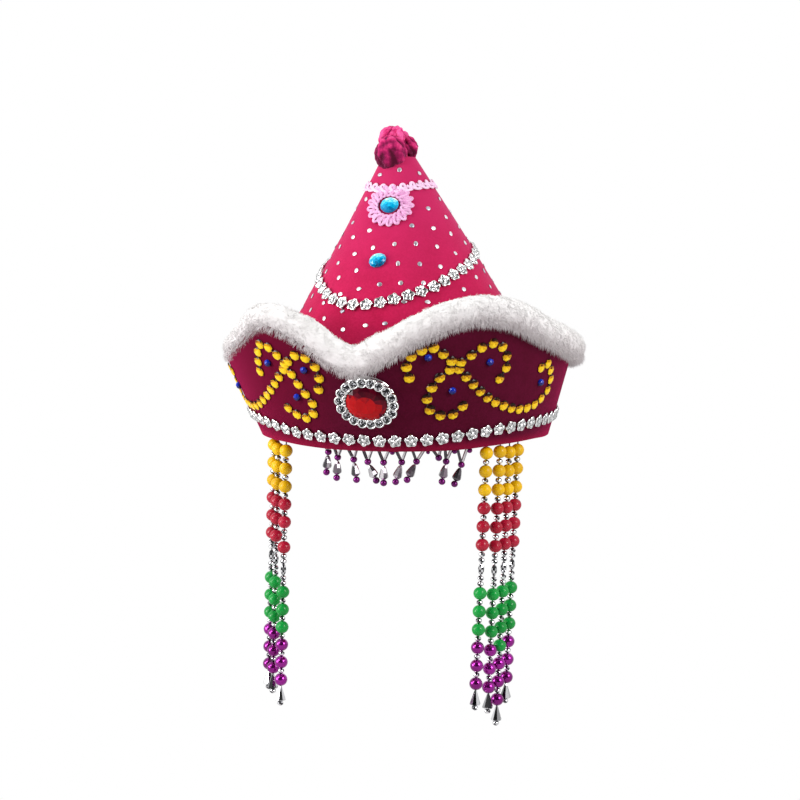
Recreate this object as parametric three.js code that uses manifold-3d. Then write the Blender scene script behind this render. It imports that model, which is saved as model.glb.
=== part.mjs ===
// Pointed felt hat with an upturned, fur-trimmed brim and hanging strings of beads.
// Millimetres, +Z up. The origin is the middle of the opening at the rim, and the front
// faces -Y. An angle of 0 is the middle of the front, and angles grow towards +X.

import * as THREE from 'three';
import { mergeVertices } from 'three/addons/utils/BufferGeometryUtils.js';
import Module from 'manifold-3d';

const wasm = await Module();
wasm.setup();

// Gap kept between neighbouring pieces
const seam = 0.3;

// Crown: an upright felt band round the head, with a cone on it that leans a little
const bandRadius = 90.5;
const bandTop = 44.5;
const crownWall = 2;
const coneTip = new THREE.Vector3(-5.6, -1.6, 199.2);
const coneBend = 2;
const coneSlope = bandRadius / (coneTip.z - bandTop);
const coneHalfAngle = Math.atan(coneSlope);
const coneRings = 8;
const crownTop = 181;
const crownTipWall = 3;
const crownTipRise = 1;
const crownSteps = 72;

// Lower edge of the band and the cuff: a little higher at both sides of the front
const rimLiftRows = [
  { angle: -90, height: 0 },
  { angle: -70, height: 0.4 },
  { angle: -55, height: 1.2 },
  { angle: -42, height: 1.4 },
  { angle: -30, height: 0.9 },
  { angle: -15, height: 0.4 },
  { angle: 20, height: 0.5 },
  { angle: 35, height: 0.8 },
  { angle: 47, height: 1.8 },
  { angle: 66, height: 2.4 },
  { angle: 76, height: 2.2 },
  { angle: 88, height: 1 },
  { angle: 105, height: 0 },
  { angle: 180, height: 0 },
];

// Cuff: the brim, sewn on at the bottom edge and turned up, leaning out from the crown
const rimRadius = 94;
const cuffWall = 3;
const cuffLean = 20;
const cuffLeanDrift = -4.5;
const cuffSteps = 72;
const cuffFoot = { height: 1.4, insideCorner: 0.6, outsideCorner: 1 };
const cuffEdgeRows = [
  { angle: -145, height: 43.5 },
  { angle: -100, height: 45.5 },
  { angle: -76, height: 49.5 },
  { angle: -58, height: 54 },
  { angle: -43, height: 65 },
  { angle: -31, height: 75.3 },
  { angle: -20, height: 67.5 },
  { angle: -9, height: 51.3 },
  { angle: -2, height: 47.3 },
  { angle: 6, height: 54.3 },
  { angle: 16.6, height: 66.8 },
  { angle: 27, height: 76.5 },
  { angle: 37, height: 79.5 },
  { angle: 47, height: 75.5 },
  { angle: 62, height: 64 },
  { angle: 84, height: 53 },
  { angle: 107, height: 46 },
  { angle: 150, height: 43.5 },
];

// Fur: a plush roll that takes in the cuff's upper edge; it is thicker and sits further out
// on one side than on the other
const furRadius = 9;
const furRadiusDrift = 0.8;
const furInset = 3.2;
const furInsetDrift = -3.4;
const furRise = 0.94;
const cuffInFur = 3.5;
const furSides = 10;
const furDip = { angle: -1, halfWidth: 8, extra: 1.8 };

// Knot of rolled felt on the tip
const knotLobes = [
  { x: -7.5, y: -10, z: 183.2, wide: 10.1, tall: 11.5 },
  { x: -8.4, y: -3, z: 191.8, wide: 8.7, tall: 9.4 },
  { x: 1.3, y: 1, z: 187, wide: 6.6, tall: 7 },
  { x: -5.5, y: 4, z: 188.5, wide: 8, tall: 9.5 },
];
const knotReach = 40;

// Looped braid on the cone: a band all round, and an oval ring on the front below it
const braidBand = { width: 6.8, thickness: 1.6, steps: 48 };
const braidBandRows = [
  { angle: -125, height: 162.5 },
  { angle: -65, height: 161.7 },
  { angle: -5, height: 160 },
  { angle: 20, height: 160.9 },
  { angle: 40, height: 162.1 },
  { angle: 75, height: 163 },
  { angle: 145, height: 163 },
];
const braidRing = { angle: -2.8, height: 149.3, wide: 32, tall: 31, strip: 9, thickness: 1.8, steps: 36 };

// Oval faceted stones on the cone
const coneGems = [
  { name: 'gem_upper', angle: -2.2, height: 149.7, wide: 12, tall: 10.4, rise: 3.4, turn: 0 },
  { name: 'gem_lower', angle: -6.4, height: 115.2, wide: 11.5, tall: 10.2, rise: 3.4, turn: 20 },
];

// Threads of flower sequins: one hung round the cone, one along the foot of the cuff
const flower = { width: 8.8, thickness: 1.6, threadWidth: 1.3, threadThickness: 0.8, taper: 0.8 };
const swagPitch = 9;
const swagRows = [
  { angle: -152.4, height: 121 },
  { angle: -112.4, height: 117 },
  { angle: -82.4, height: 109 },
  { angle: -62.4, height: 102.5 },
  { angle: -50.4, height: 97.9 },
  { angle: -33.4, height: 91.2 },
  { angle: -16.4, height: 87.8 },
  { angle: -2.4, height: 89.2 },
  { angle: 15.1, height: 93.9 },
  { angle: 31.6, height: 99.2 },
  { angle: 47.6, height: 106.2 },
  { angle: 67.6, height: 112.7 },
  { angle: 84.6, height: 118 },
  { angle: 107.6, height: 122 },
  { angle: 162.6, height: 124 },
];
const rimChainPitch = 9.6;
const rimChainRows = [
  { angle: -150, height: 14 },
  { angle: -90, height: 15.5 },
  { angle: -54, height: 15.2 },
  { angle: -26, height: 9.9 },
  { angle: 0, height: 7.9 },
  { angle: 22, height: 8.7 },
  { angle: 45, height: 12.6 },
  { angle: 70, height: 14.8 },
  { angle: 110, height: 15 },
  { angle: 165, height: 13.5 },
];

// Brooch at the middle of the front
const brooch = { angle: 0.9, height: 33, wide: 40, tall: 34, turn: -9, plate: 1.8, rise: 5, cups: 18 };
const broochStone = { wide: 25, tall: 21.5, rise: 5.6 };

// Scrolls of gold stones on the cuff: how many stones each row has, and its middle line
const scrollStone = { width: 6.4, thickness: 2.6, threadWidth: 1.6, threadThickness: 0.8, taper: 0.6 };
const scrollRows = {
  scroll_right: [
    {
      stones: 24,
      line: [
        { angle: 14.5, height: 47.8 },
        { angle: 13.6, height: 54.7 },
        { angle: 14.6, height: 60.2 },
        { angle: 17.7, height: 64.3 },
        { angle: 21.4, height: 66.2 },
        { angle: 27, height: 58.4 },
        { angle: 35.5, height: 43.2 },
        { angle: 42.1, height: 33.7 },
        { angle: 49.7, height: 27.8 },
        { angle: 58.3, height: 24.6 },
        { angle: 66.8, height: 27.2 },
        { angle: 72.8, height: 35.7 },
        { angle: 72.2, height: 44 },
        { angle: 67.7, height: 52.1 },
        { angle: 64.2, height: 50.1 },
      ],
    },
    {
      stones: 16,
      line: [
        { angle: 32.9, height: 29.4 },
        { angle: 29.5, height: 24.3 },
        { angle: 25.7, height: 23.9 },
        { angle: 22.1, height: 26.7 },
        { angle: 20.3, height: 32.4 },
        { angle: 23.3, height: 46 },
        { angle: 31.7, height: 58.3 },
        { angle: 38.2, height: 66.7 },
        { angle: 41.9, height: 67.8 },
        { angle: 45, height: 63.9 },
        { angle: 47.4, height: 54.5 },
        { angle: 45.4, height: 45.5 },
      ],
    },
  ],
  scroll_left: [
    {
      stones: 23,
      line: [
        { angle: -15.4, height: 39.5 },
        { angle: -14.4, height: 46 },
        { angle: -14.8, height: 53 },
        { angle: -17.2, height: 58.3 },
        { angle: -20.1, height: 60.5 },
        { angle: -23, height: 58.3 },
        { angle: -28.1, height: 49 },
        { angle: -33.4, height: 40.7 },
        { angle: -39.3, height: 33 },
        { angle: -51.2, height: 23.8 },
        { angle: -65, height: 24.5 },
        { angle: -72.5, height: 30.5 },
        { angle: -73, height: 39 },
        { angle: -69, height: 45.5 },
        { angle: -64.5, height: 44 },
      ],
    },
    {
      stones: 15,
      line: [
        { angle: -38.6, height: 47.9 },
        { angle: -37.4, height: 55.6 },
        { angle: -33.9, height: 65.8 },
        { angle: -31.7, height: 65.3 },
        { angle: -27.3, height: 57.9 },
        { angle: -22.4, height: 40.8 },
        { angle: -18.8, height: 28.5 },
        { angle: -19.8, height: 23.3 },
        { angle: -23.4, height: 20.2 },
        { angle: -27, height: 22 },
        { angle: -30.4, height: 25.8 },
      ],
    },
  ],
};
const scrollGem = { width: 5, rise: 2.4 };
const scrollGemRows = [
  { name: 'scroll_gem_right_1', angle: 20.1, height: 60.1 },
  { name: 'scroll_gem_right_2', angle: 40.4, height: 56.2 },
  { name: 'scroll_gem_right_3', angle: 28.6, height: 39.2 },
  { name: 'scroll_gem_right_4', angle: 65.7, height: 40.4 },
  { name: 'scroll_gem_left_1', angle: -19.1, height: 51.1 },
  { name: 'scroll_gem_left_2', angle: -32.9, height: 54.1 },
  { name: 'scroll_gem_left_3', angle: -24.6, height: 33.4 },
  { name: 'scroll_gem_left_4', angle: -64.4, height: 34.5 },
];

// Strings of beads: two runs of large beads with a link of small ones and a long one between
const bead = { radius: 4.2, neck: 0.04, shoulder: 0.27, fullness: 0.97 };
const smallBead = { radius: 2, length: 3.4 };
const longBead = { radius: 1.9, length: 7.6 };
const teardrop = { radius: 3.9, length: 9.6, neck: 0.1, shoulder: 0.85 };
const threadRadius = 0.8;
const strandSides = 6;
const strandHangRadius = 89.5;

// Each string's place, its first bead's middle below the rim, its lean, the pitch of its large
// beads, the length of its link, and how many large beads are above and below the link
const strandRows = [
  { name: 'strand_right_1', angle: 47.7, drop: 4.5, lean: 2.3, pitch: 11.6, link: 22.4, above: 6, below: 6 },
  { name: 'strand_right_2', angle: 54.8, drop: 4.9, lean: 2.4, pitch: 12, link: 22.4, above: 6, below: 6 },
  { name: 'strand_right_3', angle: 60.3, drop: 6.2, lean: 2.4, pitch: 11.7, link: 22.1, above: 6, below: 7 },
  { name: 'strand_right_4', angle: 65.9, drop: 5.8, lean: 2.4, pitch: 11.7, link: 21.5, above: 6, below: 6 },
  { name: 'strand_left_3', angle: -44.4, drop: 6.3, lean: 1.7, pitch: 11.5, link: 25.5, above: 6, below: 6 },
  { name: 'strand_left_2', angle: -52.2, drop: 6.5, lean: 1.7, pitch: 11.3, link: 22, above: 6, below: 6 },
  { name: 'strand_left_1', angle: -57.8, drop: 4.6, lean: 1.7, pitch: 11.5, link: 21.2, above: 6, below: 6 },
];

// The strings and drops lean towards this angle
const leanHeading = -76.5;

// Fringe inside the front of the rim: two bugles meet at a bead, and a drop hangs from it
const fringe = { radius: 85.6, top: 3, gap: 1.1 };
const fringeDrop = { bead: 1.9, cone: 2.5, coneLength: 8.6, bugle: 0.8, thread: 0.5, neck: 0.7, top: 1.6 };
const fringeRows = [
  { angle: -20.8, knot: -2.7, lean: 5.6, full: true },
  { angle: -16.1, knot: -5.6, lean: 3.2, full: true },
  { angle: -8.6, knot: -6.2, lean: -7.5, full: true },
  { angle: -2.4, knot: -7.2, lean: -24, full: true },
  { angle: 4.3, knot: -7.3, lean: 0, full: true },
  { angle: 11.8, knot: -7, lean: 17, full: true },
  { angle: 17.9, knot: -6.6, lean: 27, full: true },
  { angle: 27.2, knot: -4.6, lean: 0, full: false },
  { angle: 30.4, knot: -7.1, lean: 11.4, full: true },
  { angle: 37.2, knot: -9.6, lean: 19.3, full: true },
];

// Finishes
const finish = {
  crimsonFelt: { color: 0xc2255a, roughness: 0.9, metalness: 0 },
  wineFelt: { color: 0x6e1030, roughness: 0.9, metalness: 0 },
  whiteFur: { color: 0xf2efec, roughness: 1, metalness: 0 },
  pinkBraid: { color: 0xf2b6d8, roughness: 0.6, metalness: 0 },
  cyanStone: { color: 0x18a0d8, roughness: 0.1, metalness: 0 },
  silver: { color: 0xd8dade, roughness: 0.25, metalness: 0.9 },
  redStone: { color: 0xd40c16, roughness: 0.08, metalness: 0 },
  goldStone: { color: 0xe2ac10, roughness: 0.15, metalness: 0.3 },
  blueStone: { color: 0x142a9c, roughness: 0.1, metalness: 0 },
  beads: { color: 0xe8c020, roughness: 0.3, metalness: 0 },
  fringeBeads: { color: 0xb8b8c0, roughness: 0.2, metalness: 0.6 },
};

const { degToRad, radToDeg, lerp } = THREE.MathUtils;

// A point at an angle and radius about the hat's upright axis
function polar(angle, radius, z) {
  const a = degToRad(angle);
  return new THREE.Vector3(radius * Math.sin(a), -radius * Math.cos(a), z);
}

// The height as a smooth function of angle, all round, through rows of angle and height
function smoothRound(rows) {
  const rowAt = (i) => {
    const turns = Math.floor(i / rows.length);
    const row = rows[i - turns * rows.length];
    return { angle: row.angle + 360 * turns, height: row.height };
  };
  const slopeAt = (i) => {
    const before = rowAt(i - 1);
    const after = rowAt(i + 1);
    return (after.height - before.height) / (after.angle - before.angle);
  };
  return (angle) => {
    const first = rows[0].angle;
    const turned = first + THREE.MathUtils.euclideanModulo(angle - first, 360);
    let i = rows.length - 1;
    while (rows[i].angle > turned) i -= 1;
    const from = rowAt(i);
    const to = rowAt(i + 1);
    const span = to.angle - from.angle;
    const t = (turned - from.angle) / span;
    const t2 = t * t;
    const t3 = t2 * t;
    const ends = (2 * t3 - 3 * t2 + 1) * from.height + (3 * t2 - 2 * t3) * to.height;
    const slopes = (t3 - 2 * t2 + t) * slopeAt(i) + (t3 - t2) * slopeAt(i + 1);
    return ends + span * slopes;
  };
}

const cuffEdgeAt = smoothRound(cuffEdgeRows);
const swagAt = smoothRound(swagRows);
const rimChainAt = smoothRound(rimChainRows);
const rimLiftAt = smoothRound(rimLiftRows);
const braidBandAt = smoothRound(braidBandRows);

// A closed mesh, turned inside out if its faces point inwards
function closedGeometry(points, triangles) {
  const geometry = new THREE.BufferGeometry();
  const positions = points.flatMap((p) => [p.x, p.y, p.z]);
  const a = new THREE.Vector3();
  let volume = 0;
  for (const [i, j, k] of triangles) {
    volume += a.crossVectors(points[i], points[j]).dot(points[k]);
  }
  const facing = volume < 0 ? triangles.map(([i, j, k]) => [i, k, j]) : triangles;
  geometry.setAttribute('position', new THREE.Float32BufferAttribute(positions, 3));
  geometry.setIndex(facing.flat());
  return geometry;
}

// Bands of triangles between ring number i and ring number j, each with the same point count
function ringBand(i, j, count) {
  const triangles = [];
  for (let s = 0; s < count; s += 1) {
    const next = (s + 1) % count;
    triangles.push([i * count + s, i * count + next, j * count + s]);
    triangles.push([i * count + next, j * count + next, j * count + s]);
  }
  return triangles;
}

// Rings joined in order, with a point that closes each end
function ringStack(rings, firstPoint, lastPoint) {
  const count = rings[0].length;
  const points = [...rings.flat(), firstPoint, lastPoint];
  const triangles = [];
  for (let i = 0; i + 1 < rings.length; i += 1) triangles.push(...ringBand(i, i + 1, count));
  const lastRing = (rings.length - 1) * count;
  for (let s = 0; s < count; s += 1) {
    const next = (s + 1) % count;
    triangles.push([points.length - 2, next, s]);
    triangles.push([points.length - 1, lastRing + s, lastRing + next]);
  }
  return closedGeometry(points, triangles);
}

// Sections joined in order, with the last joined to the first again
function ringLoop(sections) {
  const triangles = [];
  for (let i = 0; i < sections.length; i += 1) {
    triangles.push(...ringBand(i, (i + 1) % sections.length, sections[0].length));
  }
  return closedGeometry(sections.flat(), triangles);
}

// Angles at even steps all round
function roundSteps(count) {
  return Array.from({ length: count }, (_, i) => -180 + (360 * i) / count);
}

function toManifold(geometry) {
  const bare = new THREE.BufferGeometry();
  bare.setAttribute('position', geometry.getAttribute('position'));
  bare.setIndex(geometry.getIndex());
  const merged = mergeVertices(bare);
  return new wasm.Manifold(new wasm.Mesh({
    numProp: 3,
    vertProperties: new Float32Array(merged.getAttribute('position').array),
    triVerts: new Uint32Array(merged.getIndex().array),
  }));
}

function fromManifold(solid) {
  const mesh = solid.getMesh();
  const geometry = new THREE.BufferGeometry();
  geometry.setAttribute('position', new THREE.BufferAttribute(mesh.vertProperties, 3));
  geometry.setIndex(new THREE.BufferAttribute(mesh.triVerts, 1));
  return geometry;
}

// The cone's middle line leans from the top of the band to the tip, and bends a little
function coneCentre(z) {
  const share = Math.max(0, (z - bandTop) / (coneTip.z - bandTop));
  const bend = coneBend * 4 * share * (1 - share);
  return new THREE.Vector2(coneTip.x * share + bend, coneTip.y * share);
}

// A ring of the crown at height z, moved outwards by the given amount
function crownRing(z, grown) {
  const centre = coneCentre(z);
  const onCone = (coneTip.z - z) * coneSlope + grown / Math.cos(coneHalfAngle);
  const radius = z <= bandTop ? bandRadius + grown : onCone;
  return roundSteps(crownSteps).map((angle) => {
    const p = polar(angle, radius, z);
    return new THREE.Vector3(p.x + centre.x, p.y + centre.y, z);
  });
}

// The band's lower edge
function bandFoot(radius) {
  return roundSteps(crownSteps).map((angle) => polar(angle, radius, rimLiftAt(angle)));
}

function crownGeometry() {
  const middle = (z) => new THREE.Vector3(coneCentre(z).x, coneCentre(z).y, z);
  const innerTop = crownTop - crownTipWall;
  const coneLevels = (top) => Array.from(
    { length: coneRings + 1 },
    (_, i) => lerp(top, bandTop, i / coneRings),
  );
  const rings = [
    ...coneLevels(crownTop).map((z) => crownRing(z, 0)),
    bandFoot(bandRadius),
    bandFoot(bandRadius - crownWall),
    ...coneLevels(innerTop).reverse().map((z) => crownRing(z, -crownWall)),
  ];
  return ringStack(rings, middle(crownTop + crownTipRise), middle(innerTop + crownTipRise));
}

// The cuff leans out more on one side than on the other
function cuffLeanAt(angle) {
  return degToRad(cuffLean + cuffLeanDrift * Math.sin(degToRad(angle)));
}

function cuffRadiusAt(angle, z) {
  return rimRadius + Math.tan(cuffLeanAt(angle)) * z;
}

// The cuff's wall in section, from its rounded foot to its upper edge, moved outwards by grown
function cuffSection(angle, grown) {
  const top = cuffEdgeAt(angle) + cuffInFur + grown;
  const foot = rimLiftAt(angle);
  const footOuter = cuffRadiusAt(angle, foot);
  const inward = (cuffWall + grown) / Math.cos(cuffLeanAt(angle));
  const at = (radius, z) => polar(angle, radius, z);
  return [
    at(footOuter + grown, foot + cuffFoot.height),
    at(cuffRadiusAt(angle, top / 2) + grown, top / 2),
    at(cuffRadiusAt(angle, top) + grown, top),
    at(cuffRadiusAt(angle, top) - inward, top),
    at(cuffRadiusAt(angle, top / 2) - inward, top / 2),
    at(footOuter - cuffWall - grown, foot + cuffFoot.height),
    at(footOuter - cuffWall + cuffFoot.insideCorner, foot),
    at(footOuter - cuffFoot.outsideCorner, foot),
  ];
}

function cuffGeometry(grown) {
  return ringLoop(roundSteps(cuffSteps).map((angle) => cuffSection(angle, grown)));
}

// The fur roll rides on the cuff's edge; on a steep stretch its section is stretched upwards
function furSection(angle) {
  const side = Math.sin(degToRad(angle));
  const round = furRadius + furRadiusDrift * side;
  const probe = 1.5;
  const edge = cuffEdgeAt(angle);
  const rise = cuffEdgeAt(angle + probe) - cuffEdgeAt(angle - probe);
  const run = degToRad(2 * probe) * cuffRadiusAt(angle, edge);
  const dip = Math.exp(-(((angle - furDip.angle) / furDip.halfWidth) ** 2));
  const tall = round * Math.hypot(1, rise / run) + furDip.extra * dip;
  const height = edge + furRise * tall;
  const radius = cuffRadiusAt(angle, edge + cuffInFur) - furInset - furInsetDrift * side;
  return Array.from({ length: furSides }, (_, i) => {
    const turn = (2 * Math.PI * (i + 0.5)) / furSides;
    return polar(angle, radius + round * Math.cos(turn), height + tall * Math.sin(turn));
  });
}

function furGeometry() {
  const roll = toManifold(ringLoop(roundSteps(cuffSteps).map(furSection)));
  return fromManifold(roll.subtract(toManifold(cuffGeometry(seam))));
}

function knotGeometry() {
  let knot = null;
  for (const lobe of knotLobes) {
    const ball = new THREE.SphereGeometry(1, 10, 7);
    ball.rotateX(Math.PI / 2);
    ball.scale(lobe.wide, lobe.wide, lobe.tall);
    ball.translate(lobe.x, lobe.y, lobe.z);
    const solid = toManifold(ball);
    knot = knot ? knot.add(solid) : solid;
  }
  const low = crownTop - knotReach;
  const grownCone = ringStack(
    [crownRing(low, seam), crownRing(crownTop + seam, seam)],
    new THREE.Vector3(coneCentre(low).x, coneCentre(low).y, low),
    new THREE.Vector3(coneCentre(crownTop).x, coneCentre(crownTop).y, crownTop + crownTipRise + 2 * seam),
  );
  return fromManifold(knot.subtract(toManifold(grownCone)));
}

// A surface gives the point at an angle and height, moved off it along its normal by lift
const coneSurface = {
  upShare: Math.cos(coneHalfAngle),
  radiusAt: (angle, z) => (coneTip.z - z) * coneSlope,
  point(angle, z, lift) {
    const centre = coneCentre(z);
    const p = polar(angle, (coneTip.z - z) * coneSlope + lift * Math.cos(coneHalfAngle), z);
    return new THREE.Vector3(p.x + centre.x, p.y + centre.y, z + lift * Math.sin(coneHalfAngle));
  },
};
const cuffSurface = {
  upShare: Math.cos(degToRad(cuffLean)),
  radiusAt: cuffRadiusAt,
  point(angle, z, lift) {
    const lean = cuffLeanAt(angle);
    return polar(angle, cuffRadiusAt(angle, z) + lift * Math.cos(lean), z - lift * Math.sin(lean));
  },
};

// A flat pattern laid on a surface round one place: right and up are lengths along the surface
function laidOn(surface, angle, height, turn = 0) {
  const cos = Math.cos(degToRad(turn));
  const sin = Math.sin(degToRad(turn));
  return (across, along, lift) => {
    const right = across * cos - along * sin;
    const up = across * sin + along * cos;
    const z = height + up * surface.upShare;
    return surface.point(angle + radToDeg(right / surface.radiusAt(angle, z)), z, lift);
  };
}

// An oval piece in steps outwards and upwards; each row's reach is a share of the half sizes,
// and the rows outside ovalInside follow the scallops that reachAt gives
const ovalInside = 0.9;
function ovalStack(place, wide, tall, rows, sides, reachAt = () => 1) {
  const rings = rows.map(({ reach, lift }) => Array.from({ length: sides }, (_, i) => {
    const turn = (2 * Math.PI * i) / sides;
    const grown = reach * (reach > ovalInside ? reachAt(i) : 1);
    return place(grown * (wide / 2) * Math.cos(turn), grown * (tall / 2) * Math.sin(turn), lift);
  }));
  return ringStack(rings, place(0, 0, rows[0].lift), place(0, 0, rows[rows.length - 1].lift));
}

// A cut stone: a low girdle, a slanting crown and a flat table
function stoneGeometry(place, wide, tall, rise, base = seam, sides = 12) {
  return ovalStack(place, wide, tall, [
    { reach: 0.96, lift: base },
    { reach: 1, lift: base + rise * 0.25 },
    { reach: 0.55, lift: base + rise },
  ], sides);
}

function braidBandGeometry(grown = 0) {
  const half = (braidBand.width / 2) * Math.cos(coneHalfAngle) + grown;
  const top = seam + braidBand.thickness + grown;
  return ringLoop(roundSteps(braidBand.steps).map((angle) => {
    const low = braidBandAt(angle) - half;
    const high = braidBandAt(angle) + half;
    return [
      coneSurface.point(angle, low, seam - grown),
      coneSurface.point(angle, high, seam - grown),
      coneSurface.point(angle, high, top),
      coneSurface.point(angle, low, top),
    ];
  }));
}

function braidRingGeometry() {
  const { angle, height, wide, tall, strip, thickness, steps } = braidRing;
  const place = laidOn(coneSurface, angle, height);
  const sections = Array.from({ length: steps }, (_, i) => {
    const turn = (2 * Math.PI * i) / steps;
    const corner = (inset, lift) => place(
      (wide / 2 - inset) * Math.cos(turn),
      (tall / 2 - inset) * Math.sin(turn),
      lift,
    );
    const top = seam + thickness;
    const insets = [0, strip / 2, strip];
    return [
      ...insets.map((inset) => corner(inset, top)),
      ...insets.reverse().map((inset) => corner(inset, seam)),
    ];
  });
  return fromManifold(toManifold(ringLoop(sections)).subtract(toManifold(braidBandGeometry(seam))));
}

// Points along a route on a surface at even lengths; the route gives angle and height at t
function evenPlaces(surface, route, closed) {
  const fine = 600;
  const places = Array.from({ length: fine + 1 }, (_, i) => route(i / fine));
  const lengths = [0];
  for (let i = 1; i <= fine; i += 1) {
    const from = surface.point(places[i - 1].angle, places[i - 1].height, 0);
    const to = surface.point(places[i].angle, places[i].height, 0);
    lengths.push(lengths[i - 1] + from.distanceTo(to));
  }
  const whole = lengths[fine];
  return (share) => {
    const target = closed ? THREE.MathUtils.euclideanModulo(share, 1) * whole : share * whole;
    let i = 1;
    while (i < fine && lengths[i] < target) i += 1;
    const t = (target - lengths[i - 1]) / (lengths[i] - lengths[i - 1]);
    return {
      angle: lerp(places[i - 1].angle, places[i].angle, t),
      height: lerp(places[i - 1].height, places[i].height, t),
      whole,
    };
  };
}

// One section of a row of sequins or stones, across its route on a surface
function rowSection(surface, placeAt, share, width, thickness, taper) {
  const step = 0.002;
  const here = placeAt(share);
  const before = placeAt(share - step);
  const after = placeAt(share + step);
  const middle = surface.point(here.angle, here.height, seam);
  const along = surface.point(after.angle, after.height, seam)
    .sub(surface.point(before.angle, before.height, seam))
    .normalize();
  const outward = surface.point(here.angle, here.height, 1 + seam).sub(middle).normalize();
  const across = new THREE.Vector3().crossVectors(outward, along).normalize();
  const corner = (side, lift) => middle.clone()
    .addScaledVector(across, side)
    .addScaledVector(outward, lift);
  const top = (width / 2) * taper;
  return [corner(-width / 2, 0), corner(width / 2, 0), corner(top, thickness), corner(-top, thickness)];
}

// A closed thread of flat flowers all round a surface
function flowerLoopGeometry(surface, heightAt, pitch) {
  const route = (t) => ({ angle: -180 + 360 * t, height: heightAt(-180 + 360 * t) });
  const placeAt = evenPlaces(surface, route, true);
  const count = Math.round(placeAt(0).whole / pitch);
  const reach = flower.width / 4 / placeAt(0).whole;
  const sections = [];
  for (let i = 0; i < count; i += 1) {
    const middle = (i + 0.5) / count;
    const { width, thickness, threadWidth, threadThickness, taper } = flower;
    sections.push(rowSection(surface, placeAt, middle - reach, width, thickness, taper));
    sections.push(rowSection(surface, placeAt, middle + reach, width, thickness, taper));
    sections.push(rowSection(surface, placeAt, (i + 1) / count, threadWidth, threadThickness, taper));
  }
  return ringLoop(sections);
}

// An open row of cut stones along a line from the middle of the first to the middle of the last
function stoneRowSolid({ stones, line }) {
  const flatScale = 100;
  const curve = new THREE.CatmullRomCurve3(
    line.map(({ angle, height }) => new THREE.Vector3(degToRad(angle) * flatScale, height, 0)),
    false,
    'centripetal',
  );
  const route = (t) => {
    const p = curve.getPoint(THREE.MathUtils.clamp(t, 0, 1));
    return { angle: radToDeg(p.x / flatScale), height: p.y };
  };
  const placeAt = evenPlaces(cuffSurface, route, false);
  const { width, thickness, threadWidth, threadThickness, taper } = scrollStone;
  const quarter = width / 4 / placeAt(0).whole;
  const step = 1 / (stones - 1);
  const sections = [];
  const addThread = (share) => sections.push(
    rowSection(cuffSurface, placeAt, share, threadWidth, threadThickness, taper),
  );
  addThread(-2 * quarter);
  for (let i = 0; i < stones; i += 1) {
    for (const side of [-quarter, quarter]) {
      sections.push(rowSection(cuffSurface, placeAt, i * step + side, width, thickness, taper));
    }
    addThread(i + 1 < stones ? (i + 0.5) * step : 1 + 2 * quarter);
  }
  const end = (section) => section.reduce((sum, p) => sum.add(p), new THREE.Vector3())
    .multiplyScalar(1 / section.length);
  return toManifold(ringStack(sections, end(sections[0]), end(sections[sections.length - 1])));
}

function scrollGeometry(rowPair) {
  const [first, second] = rowPair.map(stoneRowSolid);
  return fromManifold(first.add(second));
}

// The brooch: a plate, with a raised rim of round cups
function broochFrameGeometry() {
  const { angle, height, wide, tall, turn, plate, rise, cups } = brooch;
  const place = laidOn(cuffSurface, angle, height, turn);
  const stoneWide = (broochStone.wide + 2 * seam) / wide;
  return ovalStack(place, wide, tall, [
    { reach: 0.35, lift: seam },
    { reach: 0.65, lift: seam },
    { reach: 0.92, lift: seam },
    { reach: 1, lift: seam + rise * 0.4 },
    { reach: 0.91, lift: seam + rise },
    { reach: stoneWide + 0.02, lift: seam + rise * 0.8 },
    { reach: stoneWide, lift: seam + plate },
  ], 2 * cups, (i) => (i % 2 ? 0.95 : 1));
}

function broochStoneGeometry() {
  const place = laidOn(cuffSurface, brooch.angle, brooch.height, brooch.turn);
  const base = brooch.plate + 2 * seam;
  return stoneGeometry(place, broochStone.wide - seam, broochStone.tall - seam, broochStone.rise, base, 16);
}

// The thickness of a string of beads down its length, as rows of distance and radius
function strandProfile({ drop, pitch, link, above, below }) {
  const rows = [{ distance: 0, radius: threadRadius }];
  let distance = drop - bead.radius;
  const addRow = (further, radius) => rows.push({ distance: distance + further, radius });
  const addBeads = (count) => {
    const length = 2 * bead.radius;
    for (let i = 0; i < count; i += 1) {
      addRow(length * bead.neck, threadRadius);
      addRow(length * bead.shoulder, bead.radius * bead.fullness);
      addRow(length * (1 - bead.shoulder), bead.radius * bead.fullness);
      addRow(length * (1 - bead.neck), threadRadius);
      distance += i + 1 < count ? pitch : length;
    }
  };
  const addLink = (length, radius) => {
    addRow(length / 2, radius);
    distance += length;
    addRow(0, threadRadius);
  };
  const linkBeads = [smallBead, smallBead, longBead, smallBead, smallBead];
  const spare = link - linkBeads.reduce((sum, { length }) => sum + length, 0);
  addBeads(above);
  for (const { length, radius } of linkBeads) addLink(length + spare / linkBeads.length, radius);
  addBeads(below);
  addRow(teardrop.length * teardrop.neck, threadRadius);
  addRow(teardrop.length * teardrop.shoulder, teardrop.radius);
  addRow(teardrop.length, threadRadius);
  distance += teardrop.length;
  addLink(smallBead.length, smallBead.radius);
  return rows;
}

// Straight down, but leaning a little to one side
function leanDown(lean) {
  return polar(leanHeading, Math.sin(degToRad(lean)), -Math.cos(degToRad(lean)));
}

function strandGeometry(row) {
  const top = polar(row.angle, strandHangRadius, rimLiftAt(row.angle) - seam);
  return turnedStack(top, leanDown(row.lean), strandProfile(row), strandSides);
}

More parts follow.
